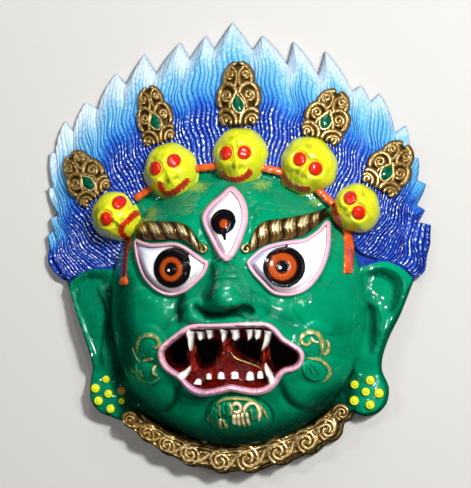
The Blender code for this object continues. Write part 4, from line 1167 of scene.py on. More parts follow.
@dataclass
class Skull:
    """A small painted skull on the headband."""

    name: str
    middle: Point
    radius: float
    turn: float  # against the clock, in degrees
    eyes: tuple[Point, Point]
    mouth: tuple[Line, ...]  # its painted strokes
    tall: float = 1.0  # how long it is from crown to chin
    tuck: float = 6.0  # how far the dome starts below the hair
    rise: float = 22.0  # of the dome over its start

    def start(self, relief: Relief) -> float:
        """Returns the height at which the dome starts."""
        return float(relief.crown(*self.middle)) - self.tuck

    def jaw(self, q: Array) -> Array:
        """Returns the skull's width from crown to chin, where it narrows."""
        return 1 - 0.16 * ease(0.1, -0.9, q)

    def frame(self, x: Array, y: Array) -> tuple[Array, Array]:
        """Returns places in the skull's own frame, as shares of its radius."""
        p, q = around_middle(x, y, self.middle, self.turn)
        return p / self.radius, q / self.radius / self.tall

    def carved(self, x: Array, y: Array, relief: Relief) -> Array:
        """Returns the height of the skull's dome, and 0 away from it."""
        p, q = self.frame(x, y)
        dome = np.clip(1 - (p / self.jaw(q)) ** 2 - q**2, 0, 1) ** 0.5
        return (self.start(relief) + self.rise * dome) * (dome > 0)

    def build(self, relief: Relief) -> None:
        """Builds the skull.

        Args:
            relief: The ground that it sits on.
        """
        around = np.linspace(0, 2 * math.pi, 96, endpoint=False)[:, None]
        down = np.linspace(0, math.radians(94), 44)[None, :]
        p = np.sin(down) * np.cos(around)
        q = np.sin(down) * np.sin(around)
        uneven = 1 + 0.022 * np.sin(3 * around + self.turn) + 0.016 * np.sin(7 * around + 2 * self.turn)
        p, q = p * self.jaw(q) * uneven, q * uneven
        c, s = math.cos(math.radians(self.turn)), math.sin(math.radians(self.turn))
        x = self.middle[0] + self.radius * (p * c - self.tall * q * s)
        y = self.middle[1] + self.radius * (self.tall * q * c + p * s)
        z = self.start(relief) + self.rise * np.cos(down) + 0 * p
        for *where, rise in SKULL_FORMS:
            z += rise * hill(p, q, *where)
        rough = np.sin(3.1 * x / 2.4 + 1.7 * np.sin(y / 3.3)) * np.sin(2.7 * y / 2.9 + 1.3 * np.sin(x / 2.7))
        z += 0.16 * rough
        socket = np.full(x.shape, -9.0)
        for ex, ey in self.eyes:
            r = np.hypot(x - ex, (y - ey) * 0.94)
            z += -1.5 * np.exp(-(((r - 4.5) / 0.9) ** 2)) + 1.4 * cap(x, y, ex, ey, 4.2, 4.5)
            socket = np.maximum(socket, 4.2 - r)
        mouth = np.full(x.shape, -9.0)
        for line in self.mouth:
            gap, share, _ = nearest(curve(line), x, y)
            along = share * math.dist(line[0], line[-1]) * 1.2
            bite = 0.6 + 0.4 * np.cos(2 * math.pi * along / 2.6)
            z += 0.9 * np.exp(-((gap / 1.8) ** 2)) - 1.2 * bite * np.exp(-((gap / 0.7) ** 2))
            mouth = np.maximum(mouth, 2.1 - gap - 0.5 * (1 - bite))
        # Painted shade: olive on the lower left side, away from the light, in the olive places and round the
        # rim
        lean = -0.8 * (x - self.middle[0]) / self.radius - 0.5 * (y - self.middle[1]) / self.radius
        shade = ease(0.05, 0.95, lean)
        for *where, dark in SKULL_SHADES:
            shade += dark * hill(p, q, *where)
        rim = ease(0.9, 1.0, np.hypot(p, q))
        values = {
            "flow": np.stack([x, y, z], axis=-1), "socket": socket, "mouth": mouth,
            "shade": np.clip(shade + 0.5 * rim, 0, 1),
        }
        ground = relief.at(x, y)
        z = np.maximum(z, ground - 2.4)
        floor = np.maximum(z - 2.2, ground - 3.0)
        placed(self.name, merged(slab(x, y, z, floor, values, closed=True)), dressed(Finish.BONE))


EYES = (
    Eye(
        "left_eye",
        (
            (-62.3, 6.4), (-57.1, 5.0), (-50.3, 3.6), (-43.2, 3.8), (-34.2, 4.3), (-27.3, 2.2), (-20.6, -1.8),
            (-14.7, -5.8), (-12.1, -7.6), (-14.1, -13.4), (-17.9, -17.7), (-23.7, -22.7), (-28.8, -25.5),
            (-34.7, -26.8), (-40.6, -25.6), (-47.6, -21.7), (-53.9, -15.6), (-58.3, -7.5), (-61.1, 0.0),
        ),
        (-34, -11, 30, 25), (-33.6, -10.3, 12.5), ring_at=(0.31, 0.63), ring_shift=(-0.7, -0.9),
        drips=((-33.5, 0.6, 1.9), (-25.0, -2.6, 1.6)),
    ),
    Eye(
        "right_eye",
        (
            (13.9, -7.6), (16.9, -13.1), (22.0, -18.9), (27.9, -24.7), (33.9, -26.6), (40.4, -26.3),
            (47.6, -23.3), (53.3, -17.3), (57.6, -9.3), (60.2, 0.6), (60.6, 10.0), (59.6, 18.3), (55.4, 13.1),
            (50.9, 9.3), (45.7, 6.5), (38.1, 5.5), (30.5, 4.0), (23.4, 1.8), (18.8, -1.5), (15.1, -5.2),
        ),
        (36, -10, 32, 25), (35.3, -9.8, 12.5), ring_at=(0.29, 0.70), ring_shift=(-0.9, 0.2),
        drips=((35.9, 2.4, 1.1), (36.3, 4.0, 0.8), (38.1, -20.6, 1.7)),
    ),
    Eye(
        "third_eye",
        (
            (-0.3, 39.0), (-5.0, 34.5), (-11.3, 28.2), (-14.6, 21.6), (-13.0, 15.3), (-9.1, 8.2), (-5.7, 2.1),
            (-2.0, -3.0), (0.9, -4.5), (3.7, -2.1), (6.8, 3.6), (9.2, 11.0), (10.7, 17.7), (10.0, 25.2),
            (7.4, 31.6), (3.8, 36.1),
        ),
        (-1.5, 17, 17, 27), (-1.9, 17.9, 8.0), share=0.6, ring_at=(-0.38, 0.38), ring_shift=(0.8, -1.2),
        lid_width=1.9, drips=((-0.6, 9.6, 1.5), (-0.1, 7.6, 1.2)), painted_glint=0.0,
    ),
)
SKULLS = (
    Skull(
        "skull_far_left", (-76.8, 21.8), 16.2, 50, ((-73.6, 30.9), (-81.1, 20.4)),
        (((-63.3, 24.1), (-67.8, 18.8), (-71.3, 14.2), (-71.4, 11.5), (-69.6, 7.6)),), 1.1,
    ),
    Skull(
        "skull_left", (-40.2, 50.6), 18.7, 22, ((-36.7, 56.9), (-48.7, 52.2)),
        (
            (
                (-45.2, 42.2), (-44.3, 37.7), (-42.0, 36.1), (-38.2, 36.7), (-34.5, 38.8), (-31.1, 41.9),
                (-28.7, 44.4),
            ),
        ),
    ),
    Skull(
        "skull_middle", (3.9, 59.0), 18.2, 0, ((-3.6, 61.4), (8.2, 61.6)),
        (((-6.5, 48.7), (-3.7, 46.1), (-0.5, 44.8), (3.1, 44.7), (6.1, 45.4), (9.2, 47.1), (11.5, 49.6)),),
        1.1,
    ),
    Skull(
        "skull_right", (46.3, 53.4), 19.3, -30, ((42.7, 57.5), (52.6, 51.6)),
        (((31.0, 48.9), (33.0, 45.5), (36.7, 41.2)), ((40.9, 40.0), (43.7, 38.7), (47.5, 38.5))),
    ),
    Skull(
        "skull_far_right", (76.3, 26.8), 16.6, -55, ((74.0, 33.3), (79.4, 24.1)),
        (((63.2, 28.8), (64.8, 24.0), (66.2, 19.5), (67.7, 14.4)),), 0.98,
    ),
)


def merged(surface: Surface) -> Surface:
    """Joins the corners that lie at one place, as at the middle of a round patch.

    Args:
        surface: The surface, changed in place.

    Returns:
        The same surface, without its doubled corners.
    """
    _, first, back = np.unique(np.round(surface.corners, 3), axis=0, return_index=True, return_inverse=True)
    back = back.reshape(-1)
    faces = []
    for face in surface.faces:
        loop = [int(back[i]) for i in face]
        loop = [a for a, b in zip(loop, loop[1:] + loop[:1]) if a != b]
        if len(loop) > 2:
            faces.append(tuple(loop))
    values = {k: v[first] for k, v in surface.values.items()}
    return Surface(surface.corners[first], faces, values)


def ribbon(
    relief: Relief,
    path: Array,
    half: float | Array,
    rise: float | Array,
    closed: bool = False,
    sink: float = 1.2,
    lift: Callable[[Array, Array], Array] | None = None,
    across: int = 11,
    extra: dict[str, float] | None = None,
) -> Surface:
    """Lays a rounded strip along a path on the ground.

    Args:
        relief: The ground.
        path: The strip's middle line.
        half: Half of its width, for all of it or for each point.
        rise: Its height, for all of it or for each point.
        closed: Whether it returns to its start.
        sink: How far it reaches into the ground.
        lift: The height above the ground that it lies on.
        across: Points over its width.
        extra: More values for the paint.

    Returns:
        The strip's surface.
    """
    n = len(path)
    ahead = np.roll(path, -1, axis=0) - np.roll(path, 1, axis=0)
    if not closed:
        ahead[0], ahead[-1] = path[1] - path[0], path[-1] - path[-2]
    ahead /= np.maximum(np.hypot(*ahead.T), 1e-9)[:, None]
    side = np.column_stack([ahead[:, 1], -ahead[:, 0]])
    half, rise = np.broadcast_to(half, n), np.broadcast_to(rise, n)
    v = np.sin(np.linspace(-math.pi / 2, math.pi / 2, across))
    xy = path[:, None, :] + side[:, None, :] * (half[:, None] * v[None, :])[..., None]
    x, y = xy[..., 0], xy[..., 1]
    base = relief.at(x, y) + (lift(x, y) if lift else 0.0)
    round_ = np.sqrt(np.clip(1 - v**2, 0, 1))[None, :]
    z = relief.buried(x, y, base + rise[:, None] * round_ - 0.4 * (1 - round_), 1.6)
    run = np.append(0, np.cumsum(np.linalg.norm(np.diff(path, axis=0), axis=1)))
    values = {
        "flow": np.stack([half[:, None] * v[None, :] + 0 * x, run[:, None] + 0 * x, z], axis=-1),
        # Painted shade at the strip's edges, a painted highlight on its crest and a dark painted shadow line
        # along one side
        GLAZE_AND_SHADE: np.clip(1 - 1.25 * round_, 0, 1) + 0 * x,
        RUB_AND_HIGHLIGHT: round_**2 + 0 * x,
        "line": ease(0.45, 0.8, v)[None, :] * ease(0.98, 0.8, v)[None, :] + 0 * x,
        "shade": 0 * x, "dark": 0 * x, "smudge": 0 * x,
    }
    for key, value in (extra or {}).items():
        values[key] = values.get(key, 0 * x) * 0 + value if np.ndim(value) == 0 else value[:, None] + 0 * x
    return slab(x, y, z, relief.buried(x, y, base - sink), values, closed)


def drop_extra(surface: Surface, *also: str) -> Surface:
    """Leaves a surface with only the values for brush marks, glazing with painted shade, and others that are
    named.
    """
    return Surface(surface.corners, surface.faces, {k: surface.values[k] for k in ("flow", GLAZE_AND_SHADE, *also)})


def gilt(surface: Surface) -> Surface:
    """Leaves a surface with only the values that gilding reads."""
    return drop_extra(surface, RUB_AND_HIGHLIGHT)


def tapered(count: int, wide: float, start: float = 0.25, end: float = 0.25) -> Array:
    """Returns widths that narrow to a point at both ends of a strip."""
    t = np.linspace(0, 1, count)
    return wide * np.clip(np.sqrt(np.clip(t / start, 0, 1)) * np.sqrt(np.clip((1 - t) / end, 0, 1)), 0.06, 1)


def coil(
    cx: float, cy: float, radius: float, hand: int, start: float, turns: float, count: int = 60
) -> Array:
    """Draws a scroll from its rim to its eye.

    Args:
        cx: Its middle along X.
        cy: Its middle along Y.
        radius: Its outer radius.
        hand: 1 to turn against the clock, -1 with it.
        start: Where its rim starts, in degrees.
        turns: How many turns it makes.
        count: Points along it.

    Returns:
        The scroll's points.
    """
    t = np.linspace(0, 1, count)
    r = radius * (1 - 0.86 * t**0.85)
    a = math.radians(start) + hand * 2 * math.pi * turns * t
    return np.column_stack([cx + r * np.cos(a), cy + r * np.sin(a)])


@dataclass
class FlameHair:
    """The crown of wavy strands that run from the brow and ears to the flame tips."""

    strand_mm: float = 2.35  # width of a strand halfway up
    samples: int = 5  # columns of the mesh on a strand
    rows: int = 60
    ridge: float = 1.35  # height of a strand
    lock_groove: float = 2.2  # depth between two locks, at the tips
    wave: float = 1.2  # how far a strand swings to each side
    wave_length: float = 24.0

    def lines(self) -> tuple[Array, Array, Array, Array, Array]:
        """Draws the strands' roots, ends and directions.

        Returns:
            For each column: root, end, direction at the end, the place in its lock and the strand's number.
        """
        rng = np.random.default_rng(7)
        tips = [f[0] for f in FLAMES] + [CROWN_LAST]
        notches = [f[1] for f in FLAMES]
        roots = curve([f[2] for f in FLAMES] + [CROWN_END], steps=2)
        sides = flame_sides()[1:-1]
        axes = []
        for k, tip in enumerate(tips):
            before = notches[k - 1] if k else CROWN_START
            after = notches[k] if k < len(notches) else CROWN_END
            axis = np.array(tip) - (np.array(before) + np.array(after)) / 2
            axes.append(axis / np.linalg.norm(axis))
        aims = []
        for k in range(len(tips)):
            aims.append(axes[k])
            if k < len(notches):
                both = axes[k] + axes[k + 1]
                aims.append(both / np.linalg.norm(both))
        found = [[], [], [], [], []]
        number = 0.0
        for k, side in enumerate(sides):
            side = np.array(side + [sides[k + 1][0] if k + 1 < len(sides) else np.array(CROWN_LAST)])
            chord = side[-1] - side[0]
            across = abs(chord[0] * aims[k][1] - chord[1] * aims[k][0])
            count = max(2, round((0.5 * math.dist(roots[k], roots[k + 1]) + 0.5 * across) / self.strand_mm))
            last = k == len(sides) - 1
            for i in range(count * self.samples + (1 if last else 0)):
                u = i / (count * self.samples)
                found[0].append(roots[k] * (1 - u) + roots[k + 1] * u)
                spots = np.arange(FLANK_POINTS + 1)
                found[1].append([np.interp(u * FLANK_POINTS, spots, side[:, j]) for j in (0, 1)])
                found[2].append(aims[k] * (1 - u) + aims[k + 1] * u)
                found[3].append(u / 2 + 0.5 if k % 2 == 0 else u / 2)
                found[4].append(number + u * count)
            number += count
        self.bold = rng.uniform(0.55, 1.25, int(number) + 2)
        self.phase = rng.uniform(-0.7, 0.7, int(number) + 2)
        return tuple(np.array(f) for f in found)

    def build(self, relief: Relief) -> None:
        """Builds the sheet of strands.

        Args:
            relief: The ground that it covers.
        """
        root, end, aim, lock, number = self.lines()
        t = np.linspace(0, 1, self.rows)[None, :, None]
        length = np.linalg.norm(end - root, axis=1)[:, None]
        out = root - CROWN_MIDDLE
        out = out / np.linalg.norm(out, axis=1)[:, None] + (end - root) / length
        out /= np.linalg.norm(out, axis=1)[:, None]
        a, d = root[:, None, :], end[:, None, :]
        b, c = a + (out * 0.35 * length)[:, None, :], d - (aim * 0.38 * length)[:, None, :]
        path = (1 - t) ** 3 * a + 3 * (1 - t) ** 2 * t * b + 3 * (1 - t) * t * t * c + t**3 * d
        ahead = np.gradient(path, axis=1)
        ahead /= np.linalg.norm(ahead, axis=2)[..., None]
        side = np.stack([ahead[..., 1], -ahead[..., 0]], axis=-1)
        t = t[..., 0]
        run = t * length
        which = np.floor(number + 0.001).astype(int)
        smooth = np.interp(number, np.arange(len(self.phase)), self.phase)[:, None]
        swing = self.wave * np.sin(2 * math.pi * run / self.wave_length + smooth + number[:, None] * 0.05)
        swing *= np.sin(math.pi * t) ** 0.8
        outermost = np.exp(-number / 3.0) - np.exp(-(number[-1] - number) / 3.0)
        edge_bow = 2.6 * np.sin(math.pi * t) * outermost[:, None]
        path = path + side * (swing + edge_bow)[..., None]
        x, y = path[..., 0], path[..., 1]
        crest = np.abs(np.sin(math.pi * number))[:, None] ** 0.65 + 0 * t
        part = (number + 0.001 - which)[:, None]
        bold = self.bold[which][:, None]
        deep = self.lock_groove * (1 - np.abs(np.sin(math.pi * lock))[:, None] ** 0.5) * ease(0.35, 0.9, t)
        gap = nearest(relief.rim, x, y, closed=True)[0]
        angle = np.degrees(np.arctan2(y - CROWN_MIDDLE[1], x)) % 360
        angle = np.where(angle > 300, angle - 360, angle)
        reach = np.interp(
            angle, (-5, 8, 16, 26, 36, 48, 60, 140, 158, 168, 178, 188),
            (0.30, 0.36, 0.45, 0.72, 0.9, 1.0, 1.06, 1.06, 1.0, 0.86, 0.66, 0.42),
        )
        local = np.interp(
            angle, (36, 46, 62, 74, 90, 110, 140, 170), (1.0, 0.95, 1.0, 1.05, 0.92, 1.05, 1.0, 1.0)
        )
        tone = np.clip(t**1.05 * 1.04 * local, 0, 1) * reach
        tall = self.ridge * bold * ease(0, 0.05, t) * (1 - 0.6 * ease(0.7, 0.95, tone))
        z = relief.crown(x, y) - 0.9 - deep + tall * (crest - 0.3)
        z = np.minimum(z, relief.shoulder(gap, 1.3) - 0.5 * (1 - crest) * ease(0.2, 1.5, gap))
        over = number[:, None] * self.strand_mm + 0 * t
        values = {
            "flow": np.stack([over, run + 3.0 * bold * 7, 0 * x], axis=-1),
            "tone": tone,
            # Dark in the grooves between strands, partly painted shade; white flecks on the crests, partly
            # painted glints
            "groove": (1 - crest) * ease(0.7, 0.45, tone),
            "pale_groove": (1 - crest) ** 1.3 * ease(0.4, 0.7, tone)
            * np.clip(bold, 0.3, 1) * (1 - 0.7 * ease(0.8, 1.0, tone)),
            "drybrush_and_glint": np.exp(-(((part - 0.5) / 0.24) ** 2)) * ease(0.62, 0.4, tone)
            * (0.72 + 0.28 * ease(0.7, 1.15, bold)) * (0.86 + 0.14 * ease(14, 34, angle)),
        }
        floor = np.maximum(z - 2.0 - self.ridge * crest, 0.5)
        floor = np.where(gap < 0.8, np.minimum(floor, 0.6), floor)
        z, floor = relief.buried(x, y, z, 1.6), relief.buried(x, y, floor)
        placed("hair_strands", slab(x, y, z, floor, values), dressed(Finish.HAIR), sharp=70)


@dataclass
class LeafOrnament:
    """A pointed gilt ornament of paired scrolls round a drop-shaped gem."""

    name: str
    foot: Point
    tip: Point
    half: float  # of its width
    gem_at: float = 0.34  # share of the length
    lean: float = 0.0  # how far the gem's point leans to the left, as a share of the half width
    gem_mm: tuple[float, float] = (3.9, 6.5)  # half width and half length of the gem
    rise: float = 4.5
    # Scrolls: share of the length, off the middle and radius as shares of the half width, turns
    scrolls: tuple[tuple[float, float, float, float], ...] = (
        (0.075, 0.66, 0.22, 1.1), (0.475, 0.56, 0.36, 1.7), (0.81, 0.38, 0.28, 1.6),
    )
    # Arched strands: width as a share of the common one, and their line along and across
    arches: tuple[tuple[float, Line], ...] = (
        (1.1, ((0.0, 0.1), (0.11, 0.12), (0.2, 0.27), (0.25, 0.56), (0.235, 0.84), (0.17, 0.98))),
        (0.9, ((0.0, 0.36), (0.09, 0.39), (0.155, 0.58), (0.15, 0.82), (0.07, 0.95))),
        (1.15, (
            (0.45, 0.05), (0.57, 0.12), (0.65, 0.36), (0.66, 0.64), (0.59, 0.88), (0.47, 0.97), (0.35, 0.95),
            (0.28, 0.8),
        )),
        (0.9, ((0.25, 0.42), (0.36, 0.4), (0.47, 0.2), (0.54, 0.05))),
        (1.1, ((0.66, 0.66), (0.76, 0.68), (0.88, 0.56), (0.96, 0.34), (1.0, 0.06))),
        (0.95, ((0.58, 0.3), (0.66, 0.1), (0.75, 0.06), (0.84, 0.08), (0.92, 0.26), (0.95, 0.42))),
    )
    # The plate's half width along its length
    widths: tuple[tuple[float, float], ...] = (
        (0.0, 0.5), (0.05, 0.88), (0.14, 0.98), (0.25, 0.88), (0.36, 0.94), (0.5, 0.96), (0.62, 0.84),
        (0.75, 0.7), (0.87, 0.6), (0.95, 0.4), (1.0, 0.1),
    )

    def spot(self, s: Array | float, t: Array | float) -> Array:
        """Returns places of the plane for shares along and across the ornament."""
        foot, tip = np.array(self.foot), np.array(self.tip)
        axis = (tip - foot) / math.dist(foot, tip)
        across = np.array([axis[1], -axis[0]])
        return foot + np.multiply.outer(s, tip - foot) + np.multiply.outer(t, across) * self.half

    def height(self, x: Array, y: Array) -> Array:
        """Returns the height of the ornament's plate above the hair."""
        foot, tip = np.array(self.foot), np.array(self.tip)
        long = math.dist(foot, tip)
        ax, ay = (tip - foot) / long
        s = ((x - foot[0]) * ax + (y - foot[1]) * ay) / long
        t = ((x - foot[0]) * ay - (y - foot[1]) * ax) / self.half
        return self.rise * (0.62 + 0.38 * np.clip(1 - ((s - 0.45) / 0.6) ** 2 - t**2, 0, 1))

    def plate(self, relief: Relief) -> Surface:
        """Builds the plate behind the scrolls.

        Args:
            relief: The ground.

        Returns:
            The plate's surface.
        """
        s, v = np.linspace(-0.03, 1.03, 44)[:, None], np.linspace(-1, 1, 25)[None, :]
        wide = np.interp(s, *zip(*self.widths)) * (1 + 0.03 * np.sin(s * 34))
        xy = self.spot(s + 0 * v, 0.0) + (self.spot(0, 1) - self.spot(0, 0)) * (wide * v)[..., None]
        x, y = xy[..., 0], xy[..., 1]
        edge = np.clip(1 - np.abs(v) ** 5 - np.abs(2.04 * s - 1) ** 24, 0, 1)
        z = relief.at(x, y) + (self.height(x, y) - 0.9) * np.sqrt(edge) - 0.6 * (edge < 0.02)
        # Darker all over behind the scrolls: dark glazing with painted shade
        return slab(x, y, z, relief.at(x, y) - 2.0, {GLAZE_AND_SHADE: 0.62 + 0 * x, RUB_AND_HIGHLIGHT: 0.1 + 0 * x})

    def build(self, relief: Relief) -> None:
        """Builds plate, scrolls and gem.

        Args:
            relief: The ground.
        """
        parts = [self.plate(relief)]
        facing = math.degrees(math.atan2(self.tip[1] - self.foot[1], self.tip[0] - self.foot[0]))
        width = 0.14 * self.half
        for (at, off, size, twists), start in zip(self.scrolls, (200, 225, 215)):
            for hand in (-1, 1):
                cx, cy = self.spot(at, hand * off)
                path = coil(cx, cy, size * self.half * 0.84, hand, facing - hand * start, twists)
                parts.append(self.rope(relief, path, width * 0.95, 2.4))
        for share, line in self.arches:
            for hand in (-1, 1):
                path = curve([tuple(self.spot(s, hand * t)) for s, t in line], steps=8)
                parts.append(self.rope(relief, path, width * share, 2.2))
        placed(self.name, joined([gilt(p) for p in parts]), dressed(Finish.GOLD))
        turns = np.linspace(0, 2 * math.pi, 64, endpoint=False)
        far = np.cos(turns)
        s = self.gem_at + self.gem_mm[1] / math.dist(self.foot, self.tip) * far
        t = self.gem_mm[0] / self.half * np.sin(turns) * (1 - 0.6 * ease(0.0, 1.0, far)) - self.lean * far
        loop = self.spot(s, t * 0 + 0) + (self.spot(0.0, 1.0) - self.spot(0.0, 0.0)) * t[:, None]
        rim = ribbon(relief, evenly(loop, 72, True), width * 0.6, 1.7, closed=True, lift=self.height)
        share = np.linspace(0, 1, 9)
        middle = self.spot(self.gem_at - 0.03, 0.0)
        xy = middle + (loop - middle)[:, None, :] * share[None, :, None]
        x, y = xy[..., 0], xy[..., 1]
        dome = np.sqrt(np.clip(1 - (share[None, :] * 0.97) ** 2, 0, 1)) + 0 * x
        z = relief.at(x, y) + self.height(x, y) + 2.1 * dome
        # Darker towards the gem's edge: painted shade
        values = {GLAZE_AND_SHADE: np.clip(1.1 - 1.6 * dome, 0, 1)}
        gem = merged(slab(x, y, z, relief.at(x, y) + 1.0, values, closed=True))
        placed(f"{self.name}_gem_rim", gilt(rim), dressed(Finish.GOLD))
        placed(f"{self.name}_gem", gem, dressed(Finish.GEM))

    def rope(self, relief: Relief, path: Array, width: float, rise: float) -> Surface:
        """Returns one gilt strand of the ornament."""
        n = len(path)
        made = ribbon(
            relief, path, tapered(n, width, 0.12, 0.12), tapered(n, rise, 0.1, 0.1),
            lift=lambda a, b: self.height(a, b) - 0.4, across=7,
        )
        made.values[RUB_AND_HIGHLIGHT] *= 0.9
        return made


LEAVES = (
    LeafOrnament("leaf_far_left", (-89.8, 35.0), (-111.2, 62.8), 13.2, lean=0.05),
    LeafOrnament("leaf_left", (-47.8, 69.0), (-58.2, 106.0), 11.0, gem_at=0.40, lean=0.1),
    LeafOrnament("leaf_middle", (3.0, 80.0), (1.4, 120.8), 13.0, lean=0.1),
    LeafOrnament("leaf_right", (53.8, 71.0), (65.2, 102.2), 13.2, gem_at=0.40),
    LeafOrnament("leaf_far_right", (90.4, 39.6), (107.6, 68.4), 13.0, gem_at=0.38),
)


# Lines along which the casting is darkened as painted shade, in slits, folds and valleys and on the left side:
# line, half width and strength
SHADE_LINES = (
    (NOSTRIL_LINE, 2.3, 1.0), (BRIDGE_SHADE, 3.2, 0.8),
    (((-27.5, -28.0), (-30.6, -32.5), (-31.0, -37.0), (-29.5, -42.6)), 2.6, 1.0),
    (((11.4, -34.8), (14.0, -36.2), (16.0, -37.6)), 2.4, 1.0),
    (((-18.0, -34.6), (-14.5, -37.6)), 1.8, 1.0),
    (((-83.0, -26.0), (-82.4, -51.2), (-79.6, -67.4), (-77.5, -87.2)), 6.5, 0.95),
    (((-69.5, -22.0), (-69.0, -36.9), (-68.0, -49.4), (-69.0, -70.0)), 11.0, 0.85),
    (((-33.0, -87.0), (-26.0, -90.5), (-15.0, -91.5)), 2.4, 0.7),
    (((-106.0, -15.5), (-98.0, -14.5), (-89.0, -15.0), (-83.0, -20.0)), 4.5, 0.6),
    (JOWL_FOLDS[0], 2.2, 0.75), (JOWL_FOLDS[1], 2.2, 0.75),
    (SMILE_FOLDS[0], 2.5, 0.5), (SMILE_FOLDS[1], 2.0, 0.4),
    *((line, 1.1 * half, 0.85) for line, half, rise in EAR_CARVING if rise < 0),
)


@dataclass
class Shell:
    """The casting itself: face, ears and mouth in front, the hollow side behind."""

    relief: Relief
    # Distance between two points of the mesh: on face and ears, under the hair, and on the back
    fine: float = 0.95
    coarse: float = 2.6
    back: float = 4.5

    def grid(self, step: float) -> Array:
        """Returns a grid of evenly spread points over the mask."""
        rows = np.arange(-150, 152, step * math.sqrt(3) / 2)
        columns = np.arange(-130, 130, step)
        xx, yy = np.meshgrid(columns, rows)
        xx = xx + (np.arange(len(rows)) % 2)[:, None] * step / 2
        return np.column_stack([xx.ravel(), yy.ravel()])

    def thinned(self, points: Array, gap: float, kept: Array) -> Array:
        """Leaves out points that come too close to others.

        Args:
            points: The points, in order of rank.
            gap: The least distance between two.
            kept: Points that are there already.

        Returns:
            Those that stay, without the kept ones.
        """
        cells: dict[tuple[int, int], list[Point]] = {}
        chosen = []
        for i, (px, py) in enumerate([*kept.tolist(), *points.tolist()]):
            spot = (int(px // gap), int(py // gap))
            if i >= len(kept):
                cell = [(spot[0] + a, spot[1] + b) for a in (-1, 0, 1) for b in (-1, 0, 1)]
                around = (q for c in cell for q in cells.get(c, ()))
                if any((px - q[0]) ** 2 + (py - q[1]) ** 2 < gap * gap for q in around):
                    continue
                chosen.append((px, py))
            cells.setdefault(spot, []).append((px, py))
        return np.array(chosen).reshape(-1, 2)

    def spread(self, loops: list[Array], filled: Array) -> tuple[Array, Array]:
        """Makes a triangle mesh of the ground between the outline and the mouth holes.

        Args:
            loops: The outline and the holes.
            filled: Points between them.

        Returns:
            Points and triangles.
        """
        edge, holes = loops[0], loops[1:]
        keep = inside(edge, filled[:, 0], filled[:, 1])
        for hole in holes:
            keep &= ~inside(hole, filled[:, 0], filled[:, 1])
        points = np.vstack([*loops, filled[keep]])
        borders, start = [], 0
        for loop in loops:
            n = len(loop)
            borders += [(start + i, start + (i + 1) % n) for i in range(n)]
            start += n
        _, _, tris, source, _, _ = delaunay_2d_cdt([Vector(p) for p in points], borders, [], 0, 1e-6)
        tris = np.array([s[0] for s in source])[np.array([tuple(t) for t in tris])]
        mid = points[tris].mean(axis=1)
        good = inside(edge, mid[:, 0], mid[:, 1])
        for hole in holes:
            good &= ~inside(hole, mid[:, 0], mid[:, 1])
        return points, tris[good]

    def build(self) -> None:
        """Builds the casting as one closed mesh."""
        relief = self.relief
        holes = [evenly(curve(h, closed=True, steps=5), 40, True) for h in MOUTH_HOLES]
        loops = [relief.rim, *holes]
        rims = np.vstack(loops)
        small = self.grid(self.fine)
        near = self.near_paint(small)
        small = self.thinned(small[near], self.fine * 0.7, rims)
        large = self.thinned(self.grid(self.coarse), self.coarse * 0.6, np.vstack([rims, small]))
        ground, faces = self.spread(loops, np.vstack([small, large]))
        x, y = ground.T
        gap = nearest(relief.rim, x, y, closed=True)[0]
        top = relief.carved(x, y, gap, core=True)
        filled = self.thinned(self.grid(self.back), self.back * 0.6, rims)
        under, under_faces = self.spread(loops, filled)
        low = relief.read(relief.hollow, *under.T)
        low[: len(relief.rim)] = 0
        top = np.maximum(top, relief.read(relief.hollow, x, y) + 0.8)
        n = len(ground)
        triangles = [tuple(t) for t in faces.tolist()]
        triangles += [tuple(i + n for i in t[::-1]) for t in under_faces.tolist()]
        kinds = self.kinds(ground[faces].mean(axis=1)) + [3] * len(under_faces)
        start = 0
        for k, loop in enumerate(loops):
            for i in range(len(loop)):
                a, b = start + i, start + (i + 1) % len(loop)
                triangles.append((a, a + n, b + n, b))
                kinds.append(2 if k else (1 if loop[i, 1] > -20 else 0))
            start += len(loop)
        corners = np.vstack([np.column_stack([ground, top]), np.column_stack([under, low])])
        placed(
            "casting", Surface(corners, triangles, self.values(corners), kinds),
            dressed(Finish.SKIN, Finish.HAIR, Finish.MOUTH, Finish.RESIN),
        )

    def shade_and_glaze(self, x: Array, y: Array, z: Array, lip_gap: Array, beard_gap: Array) -> Array:
        """Returns how dark the casting is painted, glazed creases and painted shade.

        Args:
            x: Places along X.
            y: Places along Y.
            z: Their heights.
            lip_gap: Their distances from the edge of the mouth.
            beard_gap: Their distances from the beard's middle line.

        Returns:
            0 for none to 1 for the darkest.
        """
        relief = self.relief
        crease = relief.read(relief.crease, x, y)
        deep = np.clip((relief.read(relief.blurred(relief.ground, 14), x, y) - z) / 6, 0, 1)
        dark = np.clip(np.maximum(crease, 0.6 * deep) + 0.5 * ease(4.5, 2.0, lip_gap), 0, 1)
        cx, cy, rx, ry = CHIN_KNOB
        knob = np.hypot((x - cx) / rx, (y - cy) / ry)
        # Painted shade in a ring round the chin knob
        dark = np.maximum(dark, 0.8 * np.exp(-(((knob - 1.07) / 0.07) ** 2)))
        for line, wide, strength in SHADE_LINES:
            line_gap = nearest(curve(line), x, y, 9)[0]
            dark = np.maximum(dark, strength * np.exp(-((line_gap / wide) ** 2)))
        # Painted shade on the jaw towards the beard
        dark = np.maximum(dark, 0.92 * ease(30, 13, beard_gap) * ease(84, 72, np.abs(x)))
        # Painted shade round the rims of the mouth's holes
        for hole in MOUTH_HOLES:
            hole_gap = nearest(curve(hole, closed=True), x, y, 6, closed=True)[0]
            dark = np.maximum(dark, ease(4.0, 1.4, hole_gap))
        return dark

